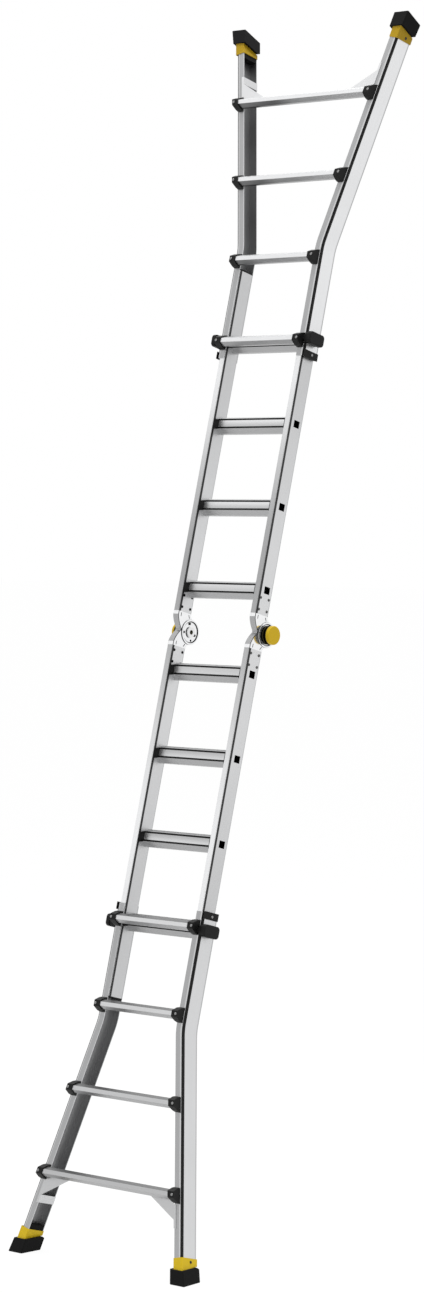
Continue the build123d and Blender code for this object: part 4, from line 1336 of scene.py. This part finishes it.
@dataclass
class Studio:
    """Pale floor, soft light and the camera."""

    camera_place: Place = (7.7221, -8.5420, 2.4731)
    camera_aim: Place = (-0.67091, 0.74020, -0.04449)
    camera_roll: float = math.radians(0.058)
    lens: float = 98.03
    sensor: float = 36.0
    sight: float = 400.0
    floor_size: float = 120.0
    floor_drop: float = 0.0005
    floor_tone: Colour = grey(0.86)
    floor_white: float = 0.88
    floor_glow: float = 1.06
    ambient: float = 0.60
    lamp: Lamp = Lamp("top", place=(0.0, 0.5, 7.5), target=(0.0, 0.0, 2.0), size=(4.0, 4.0), power=300.0)

    def build(self) -> None:
        """Set up the studio."""
        self.build_floor()
        self.build_world()
        self.build_camera()
        self.lamp.build()
        bpy.context.scene.view_settings.view_transform = "Standard"

    @staticmethod
    def seen(graph: Graph) -> Wire:
        """Share of a ray that shows the background: camera, glossy and transmission rays.

        Args:
            graph: the nodes that need it.

        Returns:
            The share, 0 or 1.
        """
        path = graph.node("ShaderNodeLightPath")
        rays = ("Is Camera Ray", "Is Glossy Ray", "Is Transmission Ray")
        camera, glossy, through = (Wire(graph, path.outputs[name]) for name in rays)
        return camera.at_least(glossy).at_least(through)

    def build_floor(self) -> None:
        """Lay the floor, which keeps the ladder's shadow."""
        bpy.ops.object.select_all(action="DESELECT")
        bpy.ops.mesh.primitive_plane_add(size=self.floor_size, location=(0, 0, -self.floor_drop))
        floor = bpy.context.active_object
        floor.name = "floor"
        made = bpy.data.materials.new("pale floor")
        made.use_nodes = True
        graph = Graph(made.node_tree)
        matt = graph.node("ShaderNodeBsdfDiffuse", None, {"Color": self.floor_tone})
        white = graph.node("ShaderNodeEmission", None, {"Color": grey(1.0), "Strength": self.floor_glow})
        share = self.seen(graph) * self.floor_white
        mixed = graph.choose(share, matt.outputs["BSDF"], white.outputs["Emission"])
        graph.node("ShaderNodeOutputMaterial", None, {"Surface": mixed})
        floor.data.materials.append(made)

    def build_world(self) -> None:
        """White backdrop over a soft light from all round."""
        world = bpy.data.worlds.new("studio")
        world.use_nodes = True
        bpy.context.scene.world = world
        graph = Graph(world.node_tree)
        soft = graph.node("ShaderNodeBackground", None, {"Color": grey(1.0), "Strength": self.ambient})
        white = graph.node("ShaderNodeBackground", None, {"Color": grey(1.0), "Strength": 1.0})
        mixed = graph.choose(self.seen(graph), soft.outputs["Background"], white.outputs["Background"])
        graph.node("ShaderNodeOutputWorld", None, {"Surface": mixed})

    def build_camera(self) -> None:
        """Stand the camera where the photograph was taken from."""
        camera = bpy.data.cameras.new("camera")
        camera.sensor_fit = "VERTICAL"
        camera.sensor_height = self.sensor
        camera.lens = self.lens
        camera.clip_end = self.sight
        stand = bpy.data.objects.new("camera", camera)
        stand.location = self.camera_place
        level = Vector(self.camera_aim).to_track_quat("-Z", "Y").to_matrix()
        stand.rotation_euler = (level @ Matrix.Rotation(self.camera_roll, 3, "Z")).to_euler()
        bpy.context.scene.collection.objects.link(stand)
        bpy.context.scene.camera = stand


YELLOW = (0.72, 0.48, 0.016, 1.0)
BRIGHT_YELLOW = (0.80, 0.56, 0.018, 1.0)
DEEP_YELLOW = (0.44, 0.28, 0.010, 1.0)
PALE_YELLOW = (0.70, 0.55, 0.10, 1.0)
# Dark olive of the hub's outer end: painted shade and a painted dark reflection.
OLIVE = (0.028, 0.024, 0.010, 1.0)
FINISHES = {
    "outer_stile": OuterStileMetal("outer stile aluminium"),
    "inner_stile": InnerStileMetal("inner stile aluminium"),
    "outer_rung": OuterRungMetal("outer rung aluminium", grain=Grain.RUNG),
    "inner_rung": InnerRungMetal("inner rung aluminium", grain=Grain.RUNG),
    "arm": HingeMetal("hinge arm aluminium", grain=Grain.SHEET, polish=0.08, contrast=0.04),
    "brace": BraceMetal("brace aluminium", grain=Grain.SHEET, contrast=0.05),
    "lip": PressedMetal("lip aluminium", grain=Grain.SHEET, front=0.93, contrast=0.04),
    "black": Moulding("black plastic"),
    # Dark lining of the outer stiles' recesses: painted shade.
    "recess_shade": Moulding("dark trim", colour=grey(0.034), scuff=grey(0.05), roughness=0.6),
    "yellow": Moulding(
        "yellow plastic", colour=BRIGHT_YELLOW, upper=DEEP_YELLOW, scuff=PALE_YELLOW, roughness=0.38
    ),
    # The knob's stem nearer the middle is painted dark olive as shade.
    "knob": Moulding("knob plastic", colour=YELLOW, scuff=PALE_YELLOW, roughness=0.38, shaded_core_x=0.2035),
    "rubber": Moulding("rubber", colour=grey(0.007), scuff=grey(0.020), roughness=0.75, specular=0.12),
    "rivet": Steel("rivet steel", colour=grey(0.26), far_x=0.330, far_colour=grey(0.03)),
    "dark_rivet": Steel("hinge rivet steel", colour=grey(0.01), far_x=0.179, far_colour=grey(0.09)),
    # Also the dark discs in the hinge holes, which are painted shade.
    "rivet_end": Steel(
        "rivet end steel", colour=grey(0.004), far_colour=grey(0.004), roughness=0.5, marks=0.05
    ),
    # The hub's outer end is painted dark olive as shade and as a dark reflection.
    "hub": Steel(
        "hub steel", colour=grey(0.80), far_x=0.182, far_colour=OLIVE, roughness=0.25, marks=0.06
    ),
}

# Finishes of the record's slots in which every solid looks the same.
SLOT_FINISH = {"black_plastic": "black", "rubber": "rubber", "polished_steel": "hub"}


def main() -> None:
    """Build the scene."""
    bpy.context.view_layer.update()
    finishes = {key: finish.material() for key, finish in FINISHES.items()}
    Dressing(finishes).build()
    for half in Half:
        InnerSection(half, finishes).build()
        OuterSection(half, finishes).build()
    HingePair(finishes).build()
    Studio().build()
    bpy.context.view_layer.update()


if __name__ == "__main__":
    main()
